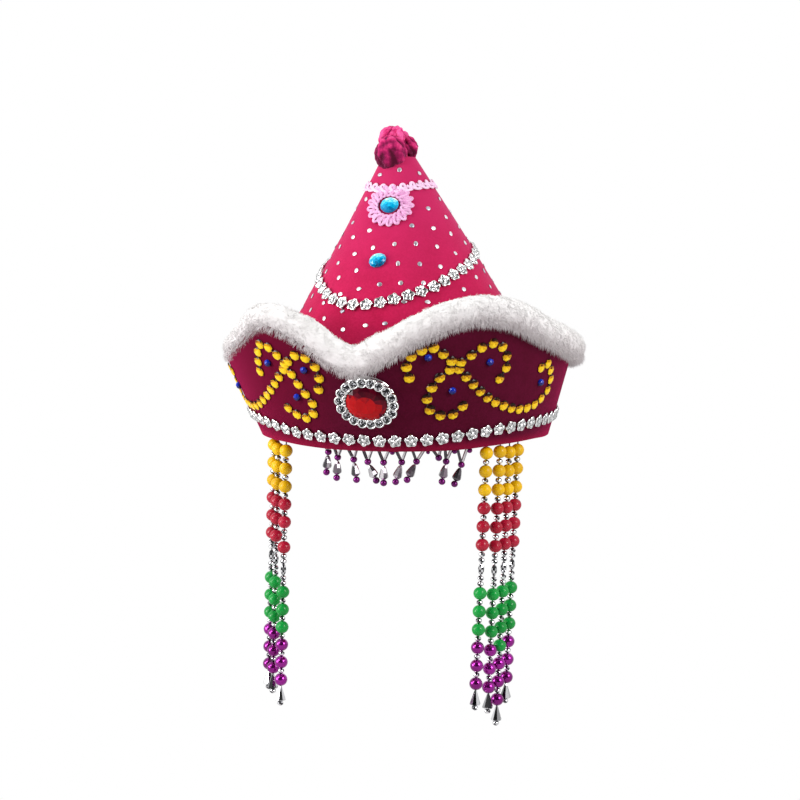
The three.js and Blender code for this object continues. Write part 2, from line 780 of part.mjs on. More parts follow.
// Rings of a turned piece along a straight line from top, as rows of distance and radius
function turnedStack(top, down, rows, sides) {
  const across = new THREE.Vector3(0, 1, 0).cross(down).normalize();
  const away = new THREE.Vector3().crossVectors(down, across);
  const rings = rows.map(({ distance, radius }) => Array.from({ length: sides }, (_, i) => {
    const turn = (2 * Math.PI * i) / sides;
    return top.clone()
      .addScaledVector(down, distance)
      .addScaledVector(across, radius * Math.cos(turn))
      .addScaledVector(away, radius * Math.sin(turn));
  }));
  const middle = ({ distance }) => top.clone().addScaledVector(down, distance);
  return ringStack(rings, middle(rows[0]), middle(rows[rows.length - 1]));
}

// A round or square rod between two points
function rodSolid(from, to, radius, sides) {
  const down = to.clone().sub(from);
  const rows = [{ distance: 0, radius }, { distance: down.length(), radius }];
  return toManifold(turnedStack(from, down.normalize(), rows, sides));
}

// The angle at the top of a bugle: half way to the next drop on its side, less a small gap;
// the end drops have a neighbour on one side only, and their outer bugle mirrors their inner one
function bugleTopAngle(index, side) {
  const { angle } = fringeRows[index];
  const neighbour = fringeRows[index + side] ?? fringeRows[index - side];
  const half = Math.abs(neighbour.angle - angle) / 2;
  return angle + side * (half - radToDeg(fringe.gap / fringe.radius));
}

// Two bugles that meet at a bead, and the cone and end bead that hang from it
function fringeGeometry(index) {
  const { angle, knot: knotHeight, lean, full } = fringeRows[index];
  const knot = polar(angle, fringe.radius, knotHeight);
  const { bead: ball, cone, coneLength, bugle, thread, neck, top } = fringeDrop;
  const rows = [
    { distance: -ball, radius: thread },
    { distance: -ball / 2, radius: ball },
    { distance: ball / 2, radius: ball },
    { distance: ball, radius: neck },
  ];
  if (full) {
    const coneEnd = ball + coneLength;
    rows.push({ distance: ball + coneLength * 0.8, radius: cone });
    rows.push({ distance: coneEnd, radius: neck });
    rows.push({ distance: coneEnd + ball / 2, radius: ball });
    rows.push({ distance: coneEnd + 1.5 * ball, radius: ball });
    rows.push({ distance: coneEnd + 2 * ball, radius: thread });
  }
  let solid = toManifold(turnedStack(knot, leanDown(lean), rows, 6));
  for (const side of [-1, 1]) {
    const high = polar(bugleTopAngle(index, side), fringe.radius + top, fringe.top);
    solid = solid.add(rodSolid(high, knot, bugle, 4));
  }
  return fromManifold(solid);
}

function named(name, geometry, look) {
  const mesh = new THREE.Mesh(geometry, new THREE.MeshStandardMaterial(finish[look]));
  mesh.name = name;
  return mesh;
}

function coneTrims() {
  const group = new THREE.Group();
  group.add(named('top_knot', knotGeometry(), 'crimsonFelt'));
  group.add(named('pink_band', braidBandGeometry(), 'pinkBraid'));
  group.add(named('pink_ring', braidRingGeometry(), 'pinkBraid'));
  for (const { name, angle, height, wide, tall, rise, turn } of coneGems) {
    const place = laidOn(coneSurface, angle, height, turn);
    group.add(named(name, stoneGeometry(place, wide, tall, rise), 'cyanStone'));
  }
  group.add(named('swag_chain', flowerLoopGeometry(coneSurface, swagAt, swagPitch), 'silver'));
  return group;
}

function cuffTrims() {
  const group = new THREE.Group();
  group.add(named('rim_chain', flowerLoopGeometry(cuffSurface, rimChainAt, rimChainPitch), 'silver'));
  group.add(named('brooch_frame', broochFrameGeometry(), 'silver'));
  group.add(named('brooch_stone', broochStoneGeometry(), 'redStone'));
  for (const [name, rowPair] of Object.entries(scrollRows)) {
    group.add(named(name, scrollGeometry(rowPair), 'goldStone'));
  }
  for (const { name, angle, height } of scrollGemRows) {
    const place = laidOn(cuffSurface, angle, height);
    const { width, rise } = scrollGem;
    group.add(named(name, stoneGeometry(place, width, width, rise, seam, 8), 'blueStone'));
  }
  return group;
}

function hangings() {
  const group = new THREE.Group();
  for (const row of strandRows) group.add(named(row.name, strandGeometry(row), 'beads'));
  fringeRows.forEach((_, i) => {
    const name = `fringe_${String(i + 1).padStart(2, '0')}`;
    group.add(named(name, fringeGeometry(i), 'fringeBeads'));
  });
  return group;
}

const hat = new THREE.Group();
hat.add(named('crown', crownGeometry(), 'crimsonFelt'));
hat.add(named('brim_cuff', cuffGeometry(0), 'wineFelt'));
hat.add(named('fur_trim', furGeometry(), 'whiteFur'));
hat.add(coneTrims());
hat.add(cuffTrims());
hat.add(hangings());

export default hat;
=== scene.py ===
# Felt hat with a fur brim, sequins, cut stones and strings of beads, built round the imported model.
# Sizes are in millimetres until a mesh is made. An angle of 0 is the middle of the front, and
# angles grow towards +X.
import math

import bpy
import numpy as np
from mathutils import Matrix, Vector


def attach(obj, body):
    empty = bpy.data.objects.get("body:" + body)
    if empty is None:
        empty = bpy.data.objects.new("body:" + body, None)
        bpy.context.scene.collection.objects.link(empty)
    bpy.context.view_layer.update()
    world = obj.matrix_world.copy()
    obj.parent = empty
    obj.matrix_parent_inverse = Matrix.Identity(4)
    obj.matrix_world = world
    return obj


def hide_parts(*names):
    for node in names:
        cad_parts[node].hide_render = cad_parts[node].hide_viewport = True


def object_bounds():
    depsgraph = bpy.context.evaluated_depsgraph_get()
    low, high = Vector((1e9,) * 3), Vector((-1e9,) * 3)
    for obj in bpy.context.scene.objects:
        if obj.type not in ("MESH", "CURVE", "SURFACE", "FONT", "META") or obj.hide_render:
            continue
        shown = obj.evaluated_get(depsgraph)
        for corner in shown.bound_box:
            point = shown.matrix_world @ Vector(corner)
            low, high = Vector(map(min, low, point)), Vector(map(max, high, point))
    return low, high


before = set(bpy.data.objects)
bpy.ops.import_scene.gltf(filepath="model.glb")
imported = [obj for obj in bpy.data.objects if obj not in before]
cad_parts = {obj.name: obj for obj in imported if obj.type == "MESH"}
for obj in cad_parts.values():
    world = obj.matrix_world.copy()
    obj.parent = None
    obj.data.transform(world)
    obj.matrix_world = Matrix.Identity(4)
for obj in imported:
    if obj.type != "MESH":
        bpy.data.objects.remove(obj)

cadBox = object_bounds()
mm = 0.001
seam = 0.3  # what lies on the felt starts this far over it
print("frame loaded with", len(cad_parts), "nodes")


def table(columns, *rows):
    # rows of values under named columns
    return [dict(zip(columns.split(), row)) for row in rows]


# Points and surfaces

def polar(angle, radius, z):
    # x = radius times sine, y = minus radius times cosine, so that 0 faces the front
    a = np.radians(angle)
    x, y, z = np.broadcast_arrays(radius * np.sin(a), -radius * np.cos(a), z)
    return np.stack([x, y, z], -1).astype(float)


def unit(v):
    return v / np.maximum(np.linalg.norm(v, axis=-1, keepdims=True), 1e-9)


def circle(count):
    return np.linspace(0, 2 * np.pi, count, endpoint=False)


def roundHat(count):
    # angles in degrees, from the back round to the back
    return np.linspace(-180, 180, count, endpoint=False)


def hermite(t, first, last, firstSlope, lastSlope):
    # the cubic that leaves first and reaches last at these slopes, for t from 0 to 1
    ends = (2 * t**3 - 3 * t**2 + 1) * first + (3 * t**2 - 2 * t**3) * last
    return ends + (t**3 - 2 * t**2 + t) * firstSlope + (t**3 - t**2) * lastSlope


def smoothRound(rows):
    # a periodic cubic through the rows, whose slope at each row is that between its two neighbours
    a = np.array(rows["angle"], float)
    h = np.array(rows["height"], float)
    nextA = np.append(a[1:], a[0] + 360)
    nextH = np.roll(h, -1)
    beforeA = np.append(a[-1] - 360, a[:-1])
    slope = (nextH - np.roll(h, 1)) / (nextA - beforeA)
    nextSlope = np.roll(slope, -1)

    def at(angle):
        turned = a[0] + np.mod(np.asarray(angle, float) - a[0], 360)
        i = np.clip(np.searchsorted(a, turned, side="right") - 1, 0, len(a) - 1)
        span = nextA[i] - a[i]
        return hermite((turned - a[i]) / span, h[i], nextH[i], span * slope[i], span * nextSlope[i])

    return at


def smoothLine(points, steps):
    # a centripetal Catmull-Rom curve: each stretch takes as long as the root of its length
    p = np.vstack([2 * points[0] - points[1], points, 2 * points[-1] - points[-2]])
    t = np.linspace(0, 1, steps, endpoint=False)[:, None]
    made = []
    for a, b, c, d in zip(p[:-3], p[1:-2], p[2:-1], p[3:]):
        ab, bc, cd = (max(np.linalg.norm(q - r) ** 0.5, 1e-6) for q, r in ((b, a), (c, b), (d, c)))
        leaving = (c - b) + bc * ((b - a) / ab - (c - a) / (ab + bc))
        reaching = (c - b) + bc * ((d - c) / cd - (d - b) / (bc + cd))
        made.append(hermite(t, b, c, leaving, reaching))
    return np.vstack([*made, points[-1:]])


def wobble(points, size, seed):
    # a smooth random height, mostly from -1 to 1: the sum of the sines of plane waves that run in
    # random directions and are about size long
    count = 6
    rng = np.random.default_rng(seed)
    waves = unit(rng.normal(size=(count, 3))) / (size * rng.uniform(0.7, 1.5, (count, 1)))
    phases = rng.uniform(0, 2 * np.pi, count)
    return np.sin(2 * np.pi * points @ waves.T + phases).sum(-1) / 3


def evenAlong(points, closed=False):
    # the share of a line's length at each of its points, and the whole length
    loop = np.vstack([points, points[:1]]) if closed else points
    lengths = np.append(0, np.cumsum(np.linalg.norm(np.diff(loop, axis=0), axis=1)))
    return lengths / lengths[-1], lengths[-1]


# Shapes: points, faces with four corners and with three, and a tone for each face

class Shape:
    def __init__(self, points, quads=(), tris=(), tone=0.0):
        self.points = np.asarray(points, float).reshape(-1, 3)
        self.quads = np.asarray(quads, int).reshape(-1, 4)
        self.tris = np.asarray(tris, int).reshape(-1, 3)
        count = len(self.quads) + len(self.tris)
        self.tone = np.broadcast_to(np.asarray(tone, float), (count,)).copy()

    def outward(self):
        # the sum of the tetrahedra under the faces is the volume, and it is negative inside out
        fans = np.vstack([self.quads[:, [0, 1, 2]], self.quads[:, [0, 2, 3]], self.tris])
        p = self.points - self.points.mean(0)
        volume = np.einsum("ij,ij->i", p[fans[:, 0]], np.cross(p[fans[:, 1]], p[fans[:, 2]])).sum()
        if volume < 0:
            self.quads = self.quads[:, ::-1]
            self.tris = self.tris[:, ::-1]
        return self

    def middles(self):
        return np.vstack([self.points[self.quads].mean(1), self.points[self.tris].mean(1)])

    def shaded(self, shade):
        # each point has a shade, and a face's tone is the mean over its corners
        self.tone = np.concatenate([shade[self.quads].mean(1), shade[self.tris].mean(1)])
        return self

    def striped(self, tones):
        # the faces round each ring take the tones in turn
        self.tone = np.array(tones)[np.arange(len(self.tone)) % len(tones)]
        return self

    def scaled(self, wide, tall, rise):
        # a shape of radius 1 and height 1 made this wide, tall and high
        return Shape(self.points * [wide / 2, tall / 2, rise], self.quads, self.tris, self.tone)


def joined(shapes):
    starts = np.cumsum([0] + [len(s.points) for s in shapes[:-1]])
    fours = [s.tone[: len(s.quads)] for s in shapes]
    threes = [s.tone[len(s.quads):] for s in shapes]
    return Shape(
        np.vstack([s.points for s in shapes]),
        np.vstack([s.quads + start for s, start in zip(shapes, starts)]),
        np.vstack([s.tris + start for s, start in zip(shapes, starts)]),
        np.concatenate(fours + threes),
    )


def gridQuads(rows, cols, wrapRows=False):
    # the faces of a grid of points whose columns close on themselves, and its rows too if asked
    i = np.arange(rows if wrapRows else rows - 1)[:, None]
    j = np.arange(cols)[None, :]
    nextI = (i + 1) % rows
    nextJ = (j + 1) % cols
    corners = [i * cols + j, i * cols + nextJ, nextI * cols + nextJ, nextI * cols + j]
    return np.stack(corners, -1).reshape(-1, 4)


def ringed(points):
    # a closed shape from rings that follow each other in a loop
    return Shape(points, gridQuads(*points.shape[:2], wrapRows=True)).outward()


def capped(rings, first, last):
    # rings of points in order, and a point that closes each end with a fan
    rows, cols = rings.shape[:2]
    points = np.vstack([rings.reshape(-1, 3), first, last])
    j = np.arange(cols)
    nextJ = (j + 1) % cols
    base = (rows - 1) * cols
    low = np.stack([np.full(cols, rows * cols), nextJ, j], -1)
    high = np.stack([np.full(cols, rows * cols + 1), base + j, base + nextJ], -1)
    return Shape(points, gridQuads(rows, cols), np.vstack([low, high])).outward()


def turned(radii, heights, sides, closed=False):
    # a profile of radius and height carried round the Z axis
    a = circle(sides)[None, :]
    r = np.asarray(radii, float)[:, None]
    z = np.asarray(heights, float)[:, None] + 0 * a
    rings = np.stack([r * np.cos(a), r * np.sin(a), z], -1)
    if closed:
        return ringed(rings)
    return capped(rings, [0, 0, heights[0]], [0, 0, heights[-1]])


def swept(path, up, radius, sides, closed=True, flat=1.0):
    # an oval section carried along a path: its sides are the tangent crossed with up, and up
    if closed:
        along = unit(np.roll(path, -1, 0) - np.roll(path, 1, 0))
    else:
        along = unit(np.gradient(path, axis=0))
    side = unit(np.cross(along, up))
    lift = np.cross(side, along)
    a = circle(sides)[:, None]
    section = np.cos(a) * side[:, None] + flat * np.sin(a) * lift[:, None]
    rings = path[:, None] + radius * section
    return ringed(rings) if closed else capped(rings, path[0], path[-1])


def copies(shape, origins, right, up, out, tone=0.0):
    # the shape's x, y and z laid along right, up and out at every origin, and a tone added to each
    count, size = len(origins), len(shape.points)
    axes = np.stack([np.broadcast_to(v, (count, 3)) for v in (right, up, out)], 1)
    points = np.einsum("pk,nkc->npc", shape.points, axes) + origins[:, None]
    starts = (np.arange(count) * size)[:, None, None]
    added = np.broadcast_to(tone, (count,))[:, None]
    fours = shape.tone[: len(shape.quads)] + added
    threes = shape.tone[len(shape.quads):] + added
    tones = np.concatenate([fours.ravel(), threes.ravel()])
    return Shape(points, shape.quads + starts, shape.tris + starts, tones)


def framesOn(surface, angle, height, lift=0.0):
    # right and up run along the surface, and out is its normal
    step = 0.05
    here = surface(angle, height, lift)
    right = unit(surface(angle + step, height, lift) - surface(angle - step, height, lift))
    up = surface(angle, height + step, lift) - surface(angle, height - step, lift)
    out = unit(np.cross(right, up))
    return here, right, np.cross(out, right), out


def turnedFrame(right, up, turn):
    # right and up turned in their own plane, by radians
    return right * np.cos(turn) + up * np.sin(turn), up * np.cos(turn) - right * np.sin(turn)


def laidAt(shape, surface, spot):
    # the shape laid on the felt at the spot's angle and height, and turned as the spot says
    here, right, up, out = framesOn(surface, np.array([spot["angle"]]), np.array([spot["height"]]), seam)
    right, up = turnedFrame(right, up, math.radians(spot.get("turn", 0.0)))
    return copies(shape, here, right, up, out)


def feltThread(line, out, every, radius, closed):
    # a thread over the felt, through every third or fourth point of a line
    return swept(line[::every] + out[::every] * 0.3, out[::every], radius, 6, closed)


def makePiece(name, parts, nodes=()):
    # a part is a shape with its finish, and the word flat where its facets show
    whole = joined([part[0] for part in parts])
    used = []
    for _, finish, *_ in parts:
        if finish not in used:
            used.append(finish)
    index, smooth = [], []
    for kind in ("quads", "tris"):
        for shape, finish, *flat in parts:
            count = len(getattr(shape, kind))
            index.append(np.full(count, used.index(finish)))
            smooth.append(np.full(count, not flat))
    mesh = bpy.data.meshes.new(name)
    corners = np.concatenate([whole.quads.ravel(), whole.tris.ravel()])
    sizes = np.concatenate([np.full(len(whole.quads), 4), np.full(len(whole.tris), 3)])
    mesh.vertices.add(len(whole.points))
    mesh.vertices.foreach_set("co", (whole.points * mm).astype(np.float32).ravel())
    mesh.loops.add(len(corners))
    mesh.loops.foreach_set("vertex_index", corners.astype(np.int32))
    mesh.polygons.add(len(sizes))
    mesh.polygons.foreach_set("loop_start", np.append(0, np.cumsum(sizes)[:-1]).astype(np.int32))
    mesh.polygons.foreach_set("material_index", np.concatenate(index).astype(np.int32))
    mesh.polygons.foreach_set("use_smooth", np.concatenate(smooth))
    mesh.attributes.new("tone", "FLOAT", "FACE").data.foreach_set("value", whole.tone.astype(np.float32))
    mesh.update(calc_edges=True)
    mesh.validate()
    for finish in used:
        mesh.materials.append(finish.material)
    piece = bpy.data.objects.new(name, mesh)
    bpy.context.scene.collection.objects.link(piece)
    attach(piece, "root")
    if nodes:
        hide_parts(*nodes)
    print("made", name, "with", len(whole.quads) * 2 + len(whole.tris), "triangles")


# Finishes

class Tone:
    # an output of a material's nodes; sums and products of tones add Math nodes
    def __init__(self, finish, socket):
        self.finish = finish
        self.socket = socket

    def math(self, operation, other, swapped=False):
        pair = (other, self) if swapped else (self, other)
        return self.finish.node("ShaderNodeMath", {"operation": operation}, {0: pair[0], 1: pair[1]})

    def __add__(self, other):
        return self.math("ADD", other)

    def __sub__(self, other):
        return self.math("SUBTRACT", other)

    def __rsub__(self, other):
        return self.math("SUBTRACT", other, True)

    def __mul__(self, other):
        return self.math("MULTIPLY", other)

    def __truediv__(self, other):
        return self.math("DIVIDE", other)

    __radd__ = __add__
    __rmul__ = __mul__


class Nodes:
    # the nodes of a material or of the world
    def __init__(self, tree):
        self.tree = tree

    def feed(self, socket, value):
        if isinstance(value, Tone):
            self.tree.links.new(value.socket, socket)
        elif np.size(value) == 3 and len(socket.default_value) == 4:
            socket.default_value = (*value, 1)
        else:
            socket.default_value = value

    def node(self, kind, settings=None, sockets=None, output=0):
        made = self.tree.nodes.new(kind)
        for key, value in (settings or {}).items():
            if key == "stops":
                ramp = made.color_ramp
                while len(ramp.elements) < len(value):
                    ramp.elements.new(0.5)
                for stop, (place, colour) in zip(ramp.elements, value):
                    stop.position = place
                    stop.color = (*colour, 1)
            else:
                setattr(made, key, value)
        for key, value in (sockets or {}).items():
            self.feed(made.inputs[key], value)
        return Tone(self, made.outputs[output])

    def between(self, value, low, high):
        # 0 at low, 1 at high, and a smooth step between them
        settings = {"interpolation_type": "SMOOTHSTEP"}
        return self.node("ShaderNodeMapRange", settings, {0: value, 1: low, 2: high})

    def mixed(self, share, first, second):
        settings = {"data_type": "RGBA"}
        return self.node("ShaderNodeMix", settings, {0: share, 6: first, 7: second}, output=2)


class Finish(Nodes):
    # a Principled material; every word given to it is one of the shader's own sockets
    def __init__(self, name, **sockets):
        self.material = bpy.data.materials.new(name)
        self.material.use_nodes = True
        super().__init__(self.material.node_tree)
        self.shader = self.tree.nodes["Principled BSDF"]
        self.set(**sockets)

    def place(self):
        return self.node("ShaderNodeTexCoord", output="Object")

    def faceTone(self):
        return self.node("ShaderNodeAttribute", {"attribute_name": "tone"}, output="Fac")

    def across(self, axis):
        # the place along X, Y or Z in millimetres, for an axis of 0, 1 or 2
        return self.node("ShaderNodeSeparateXYZ", sockets={0: self.place()}, output=axis) / mm

    def noise(self, size, detail=3.0, roughness=0.55):
        sockets = {"Vector": self.place(), "Scale": 1 / (size * mm), "Detail": detail, "Roughness": roughness}
        return self.node("ShaderNodeTexNoise", sockets=sockets)

    def ramp(self, value, stops):
        return self.node("ShaderNodeValToRGB", {"stops": stops}, {0: value})

    def set(self, **sockets):
        for words, value in sockets.items():
            self.feed(self.shader.inputs[words.replace("_", " ")], value)
        return self

    def bumped(self, value, depth, strength=1.0):
        sockets = {"Height": value, "Distance": depth * mm, "Strength": strength}
        return self.set(Normal=self.node("ShaderNodeBump", sockets=sockets))


def napped(name, sheen, sheenWeight):
    # felt or velvet: rough, with a soft sheen at the edges
    made = Finish(name, Roughness=0.95, Sheen_Weight=sheenWeight, Sheen_Roughness=0.35, Sheen_Tint=sheen)
    return made.set(Specular_IOR_Level=0.05)


def clouded(felt, dark, light, grain):
    # colour that drifts in large and in small clouds, over a fine nap in the bump
    cloud = felt.noise(14, 3) * 0.4 + felt.noise(1.3, 4, 0.7) * 0.6
    felt.bumped(felt.noise(grain, 4, 0.75) * 0.7 + felt.noise(grain * 5, 2) * 0.3, 0.4, 0.45)
    return felt.mixed(felt.between(cloud, 0.34, 0.66), dark, light)


def crimsonFelt():
    # painted sheen: a cooler pink towards the tip of the cone
    felt = napped("crimson_felt", (1.0, 0.36, 0.66), 0.55)
    cloth = clouded(felt, (0.42, 0.007, 0.046), (0.55, 0.012, 0.074), 0.5)
    share = felt.between(felt.across(2), 60.0, 185.0) * 0.75 + 0.25 * felt.noise(18)
    return felt.set(Base_Color=felt.mixed(share, cloth, (0.54, 0.024, 0.12)))


def knotFelt():
    # painted shade and light: from the nearly black creases to the pale top, by the tone of each face
    felt = napped("knot_felt", (1.0, 0.25, 0.6), 0.5)
    stops = [
        (0.0, (0.1, 0.008, 0.03)),
        (0.35, (0.3, 0.012, 0.085)),
        (0.65, (0.64, 0.03, 0.16)),
        (1.0, (0.9, 0.12, 0.36)),
    ]
    felt.set(Base_Color=felt.ramp(felt.faceTone() + (felt.noise(1.2, 3) - 0.5) * 0.5, stops))
    return felt.bumped(felt.noise(0.9, 4, 0.7), 0.8, 0.7)


def wineVelvet():
    # painted light: lighter on the left, where the light falls, and a painted sheen at its lowest,
    # turned-in edge
    velvet = napped("wine_velvet", (1.0, 0.03, 0.22), 0.7)
    cloth = clouded(velvet, (0.062, 0.003, 0.013), (0.088, 0.004, 0.021), 0.4)
    litFromLeft = velvet.mixed(velvet.between(velvet.across(0), 0.0, -70.0), cloth, (0.112, 0.002, 0.018))
    # painted sheen along the lowest edge
    edge = velvet.between(velvet.across(2), 9.0, 2.0)
    return velvet.set(Base_Color=velvet.mixed(edge, litFromLeft, (0.2, 0.005, 0.028)))


def cutStone(name, stops, metallic=0.0, coat=0.3, specular=0.2):
    # foiled stone: each facet takes its colour from the tone that its place gave it: painted reflections
    made = Finish(name, Metallic=metallic, Roughness=0.08, Coat_Weight=coat, Coat_Roughness=0.03)
    made.set(Specular_IOR_Level=specular)
    return made.set(Base_Color=made.ramp(made.faceTone() + (made.noise(0.9, 2) - 0.5) * 0.3, stops))


def goldStone():
    stops = [
        (0.0, (0.008, 0.003, 0.002)),
        (0.4, (0.03, 0.009, 0.003)),
        (0.5, (0.36, 0.13, 0.002)),
        (0.66, (0.6, 0.29, 0.003)),
        (0.82, (0.8, 0.47, 0.006)),
        (1.0, (0.88, 0.57, 0.012)),
    ]
    return cutStone("gold_stone", stops, coat=0.1, specular=0.1)


def redStone():
    stops = [
        (0.0, (0.04, 0.001, 0.006)),
        (0.4, (0.12, 0.002, 0.012)),
        (0.55, (0.34, 0.003, 0.006)),
        (1.0, (0.46, 0.005, 0.007)),
    ]
    return cutStone("red_stone", stops, coat=0.04, specular=0.1)


def cyanStone():
    # the white last stop is a painted highlight
    stops = [
        (0.0, (0.0, 0.04, 0.16)),
        (0.35, (0.0, 0.28, 0.55)),
        (0.6, (0.0, 0.52, 0.8)),
        (0.8, (0.25, 0.85, 0.95)),
        (1.0, (1.0, 1.0, 1.0)),
    ]
    return cutStone("cyan_stone", stops)


def blueStone():
    stops = [(0.0, (0.002, 0.002, 0.04)), (0.5, (0.004, 0.01, 0.22)), (1.0, (0.008, 0.04, 0.55))]
    return cutStone("blue_stone", stops)


def darkStone():
    # the pale last stop paints glints on a few facets
    stops = [(0.0, (0.004, 0.004, 0.005)), (0.6, (0.02, 0.02, 0.024)), (1.0, (0.75, 0.75, 0.8))]
    return cutStone("dark_stone", stops, metallic=0.2)


def glossy(name, dark, light, roughness, coat, metallic=0.0):
    # moulded plastic: colour that drifts a little from bead to bead, and a clear skin
    made = Finish(name, Roughness=roughness, Coat_Weight=coat, Coat_Roughness=0.1, Metallic=metallic)
    made.set(Specular_IOR_Level=0.25)
    made.set(Base_Color=made.mixed(made.between(made.noise(25, 1), 0.35, 0.65), dark, light))
    return made.bumped(made.noise(4, 1), 0.05, 0.12)


def plated(name, colour, roughness, dark):
    # plated metal: bright, with a faint drift in its polish, and darker where the tone is high
    made = Finish(name, Metallic=1.0)
    made.set(Roughness=made.noise(3, 3) * 0.12 + roughness)
    # on the chrome and the silver, high tones are painted reflections and painted shade
    return made.set(Base_Color=made.mixed(made.between(made.faceTone(), 0.0, 1.0), colour, dark))


def clearDrop():
    # silvered plastic with painted reflections: each face is dark or pale by its tone
    drop = Finish("clear_drop", Metallic=0.7, Roughness=0.1, Coat_Weight=1.0)
    stops = [(0.0, (0.035, 0.03, 0.038)), (0.5, (0.2, 0.15, 0.19)), (1.0, (0.8, 0.77, 0.8))]
    return drop.set(Base_Color=drop.ramp(drop.faceTone(), stops))


def darkThread():
    thread = Finish("dark_thread", Roughness=0.9)
    return thread.set(Base_Color=thread.mixed(thread.noise(0.6), (0.01, 0.007, 0.01), (0.05, 0.03, 0.04)))


def braidYarn():
    # fine strands in the colour and in the bump; yarn with a high tone is paler
    yarn = Finish("pink_braid", Roughness=0.45, Sheen_Weight=0.3, Sheen_Tint=(1.0, 0.85, 0.95))
    strand = yarn.noise(0.35, 2)
    share = yarn.between(strand + 0.25 * yarn.noise(4) + 0.4 * yarn.faceTone(), 0.45, 0.85)
    yarn.set(Base_Color=yarn.mixed(share, (0.7, 0.2, 0.52), (0.95, 0.66, 0.87)))
    return yarn.bumped(strand, 0.3, 0.6)


def whitePlush():
    # white, and greyer where the tone of painted shade is low; a painted glow stands for light in the pile
    plush = Finish("white_fur", Roughness=1.0, Specular_IOR_Level=0.05, Sheen_Weight=0.1)
    plush.set(Emission_Strength=0.12)
    drift = 0.16 * (plush.noise(7) - 0.5) + 0.12 * (plush.noise(1.2) - 0.5)
    shade = plush.between(plush.faceTone() + drift, 0.0, 1.0)
    colour = plush.mixed(shade, (0.5, 0.43, 0.45), (0.84, 0.83, 0.82))
    plush.set(Base_Color=colour, Emission_Color=colour)
    return plush.bumped(plush.noise(0.7, 4, 0.7), 0.5, 0.5)


finishes = {
    "crimson": crimsonFelt(),
    "knot": knotFelt(),
    "wine": wineVelvet(),
    "gold": goldStone(),
    "ruby": redStone(),
    "cyan": cyanStone(),
    "blue": blueStone(),
    "jet": darkStone(),
    "silver": plated("silver_plate", (0.93, 0.93, 0.93), 0.16, (0.1, 0.1, 0.11)),
    "foil": plated("foil_dot", (0.95, 0.93, 0.97), 0.3, (0.52, 0.53, 0.62)),
    "chrome": plated("chrome_drop", (0.85, 0.85, 0.87), 0.05, (0.03, 0.03, 0.035)),
    "yellow": glossy("yellow_bead", (0.7, 0.39, 0.001), (0.86, 0.51, 0.002), 0.34, 0.06),
    "red": glossy("red_bead", (0.36, 0.005, 0.024), (0.43, 0.009, 0.036), 0.3, 0.1),
    "green": glossy("green_bead", (0.003, 0.26, 0.036), (0.007, 0.33, 0.05), 0.3, 0.08),
    "plum": glossy("plum_bead", (0.1, 0.002, 0.09), (0.17, 0.005, 0.15), 0.2, 0.2, 0.6),
    "purple": glossy("purple_bead", (0.24, 0.006, 0.2), (0.36, 0.014, 0.32), 0.16, 0.4, 0.9),
    "thread": darkThread(),
    "braid": braidYarn(),
    "fur": whitePlush(),
    "clear": clearDrop(),
}
print("finishes made:", len(finishes))


# Crown: an upright band and a leaning cone

crown = {
    "bandRadius": 90.5,
    "bandTop": 44.5,
    "wall": 2.0,
    "tip": (-5.6, -1.6, 199.2),
    "bend": 2.0,
    "top": 181.0,
    "cap": 3.0,
    "around": 216,
    "rows": {"band": 8, "cone": 84, "insideCone": 20, "insideBand": 6},
    "softness": 0.15,
    "waveLength": 34.0,
    "footFade": 10.0,
}
rimLift = smoothRound({
    "angle": [-90, -70, -55, -42, -30, -15, 20, 35, 47, 66, 76, 88, 105, 180],
    "height": [0, 0.4, 1.2, 1.4, 0.9, 0.4, 0.5, 0.8, 1.8, 2.4, 2.2, 1, 0, 0],
})
coneSlope = crown["bandRadius"] / (crown["tip"][2] - crown["bandTop"])
coneHalfAngle = math.atan(coneSlope)
coneCos = math.cos(coneHalfAngle)


def coneCentre(z):
    # the cone's middle line leans to the tip, and bends a little
    share = np.maximum(0, (z - crown["bandTop"]) / (crown["tip"][2] - crown["bandTop"]))
    bend = crown["bend"] * 4 * share * (1 - share)
    return np.stack([crown["tip"][0] * share + bend, crown["tip"][1] * share, 0 * share], -1)


def coneRadius(z):
    # the cone's radius shrinks evenly to its tip
    return (crown["tip"][2] - z) * coneSlope


def onCone(angle, z, lift=0.0):
    # a point on the cone; lift is along its normal
    angle, z = np.broadcast_arrays(np.asarray(angle, float), np.asarray(z, float))
    radius = coneRadius(z) + lift * coneCos
    return polar(angle, radius, z + lift * math.sin(coneHalfAngle)) + coneCentre(z)


def besideSpot(spot, right, up, lift):
    # a point on the cone that lies right and up the slope from a spot
    z = spot["height"] + up * coneCos
    return onCone(spot["angle"] + np.degrees(right / coneRadius(z)), z, lift)


def fromSpot(spot, angle, height):
    # how far to the right of a spot and up the slope from it a place on the cone lies
    right = np.radians(angle - spot["angle"]) * coneRadius(height)
    return right, (height - spot["height"]) / coneCos


def crownRings(z, grown):
    # the band's lower edge is lifted a little at the sides, which fades out further up
    angle = roundHat(crown["around"])[None, :]
    z = np.asarray(z, float)[:, None]
    radius = np.where(z <= crown["bandTop"], crown["bandRadius"] + grown, coneRadius(z) + grown / coneCos)
    lifted = z + rimLift(angle) * np.clip(1 - z / crown["footFade"], 0, 1)
    rings = polar(angle, radius, lifted) + coneCentre(z)
    soft = crown["softness"] * wobble(rings, crown["waveLength"], 3)
    return rings + polar(angle, 1, 0) * soft[..., None]


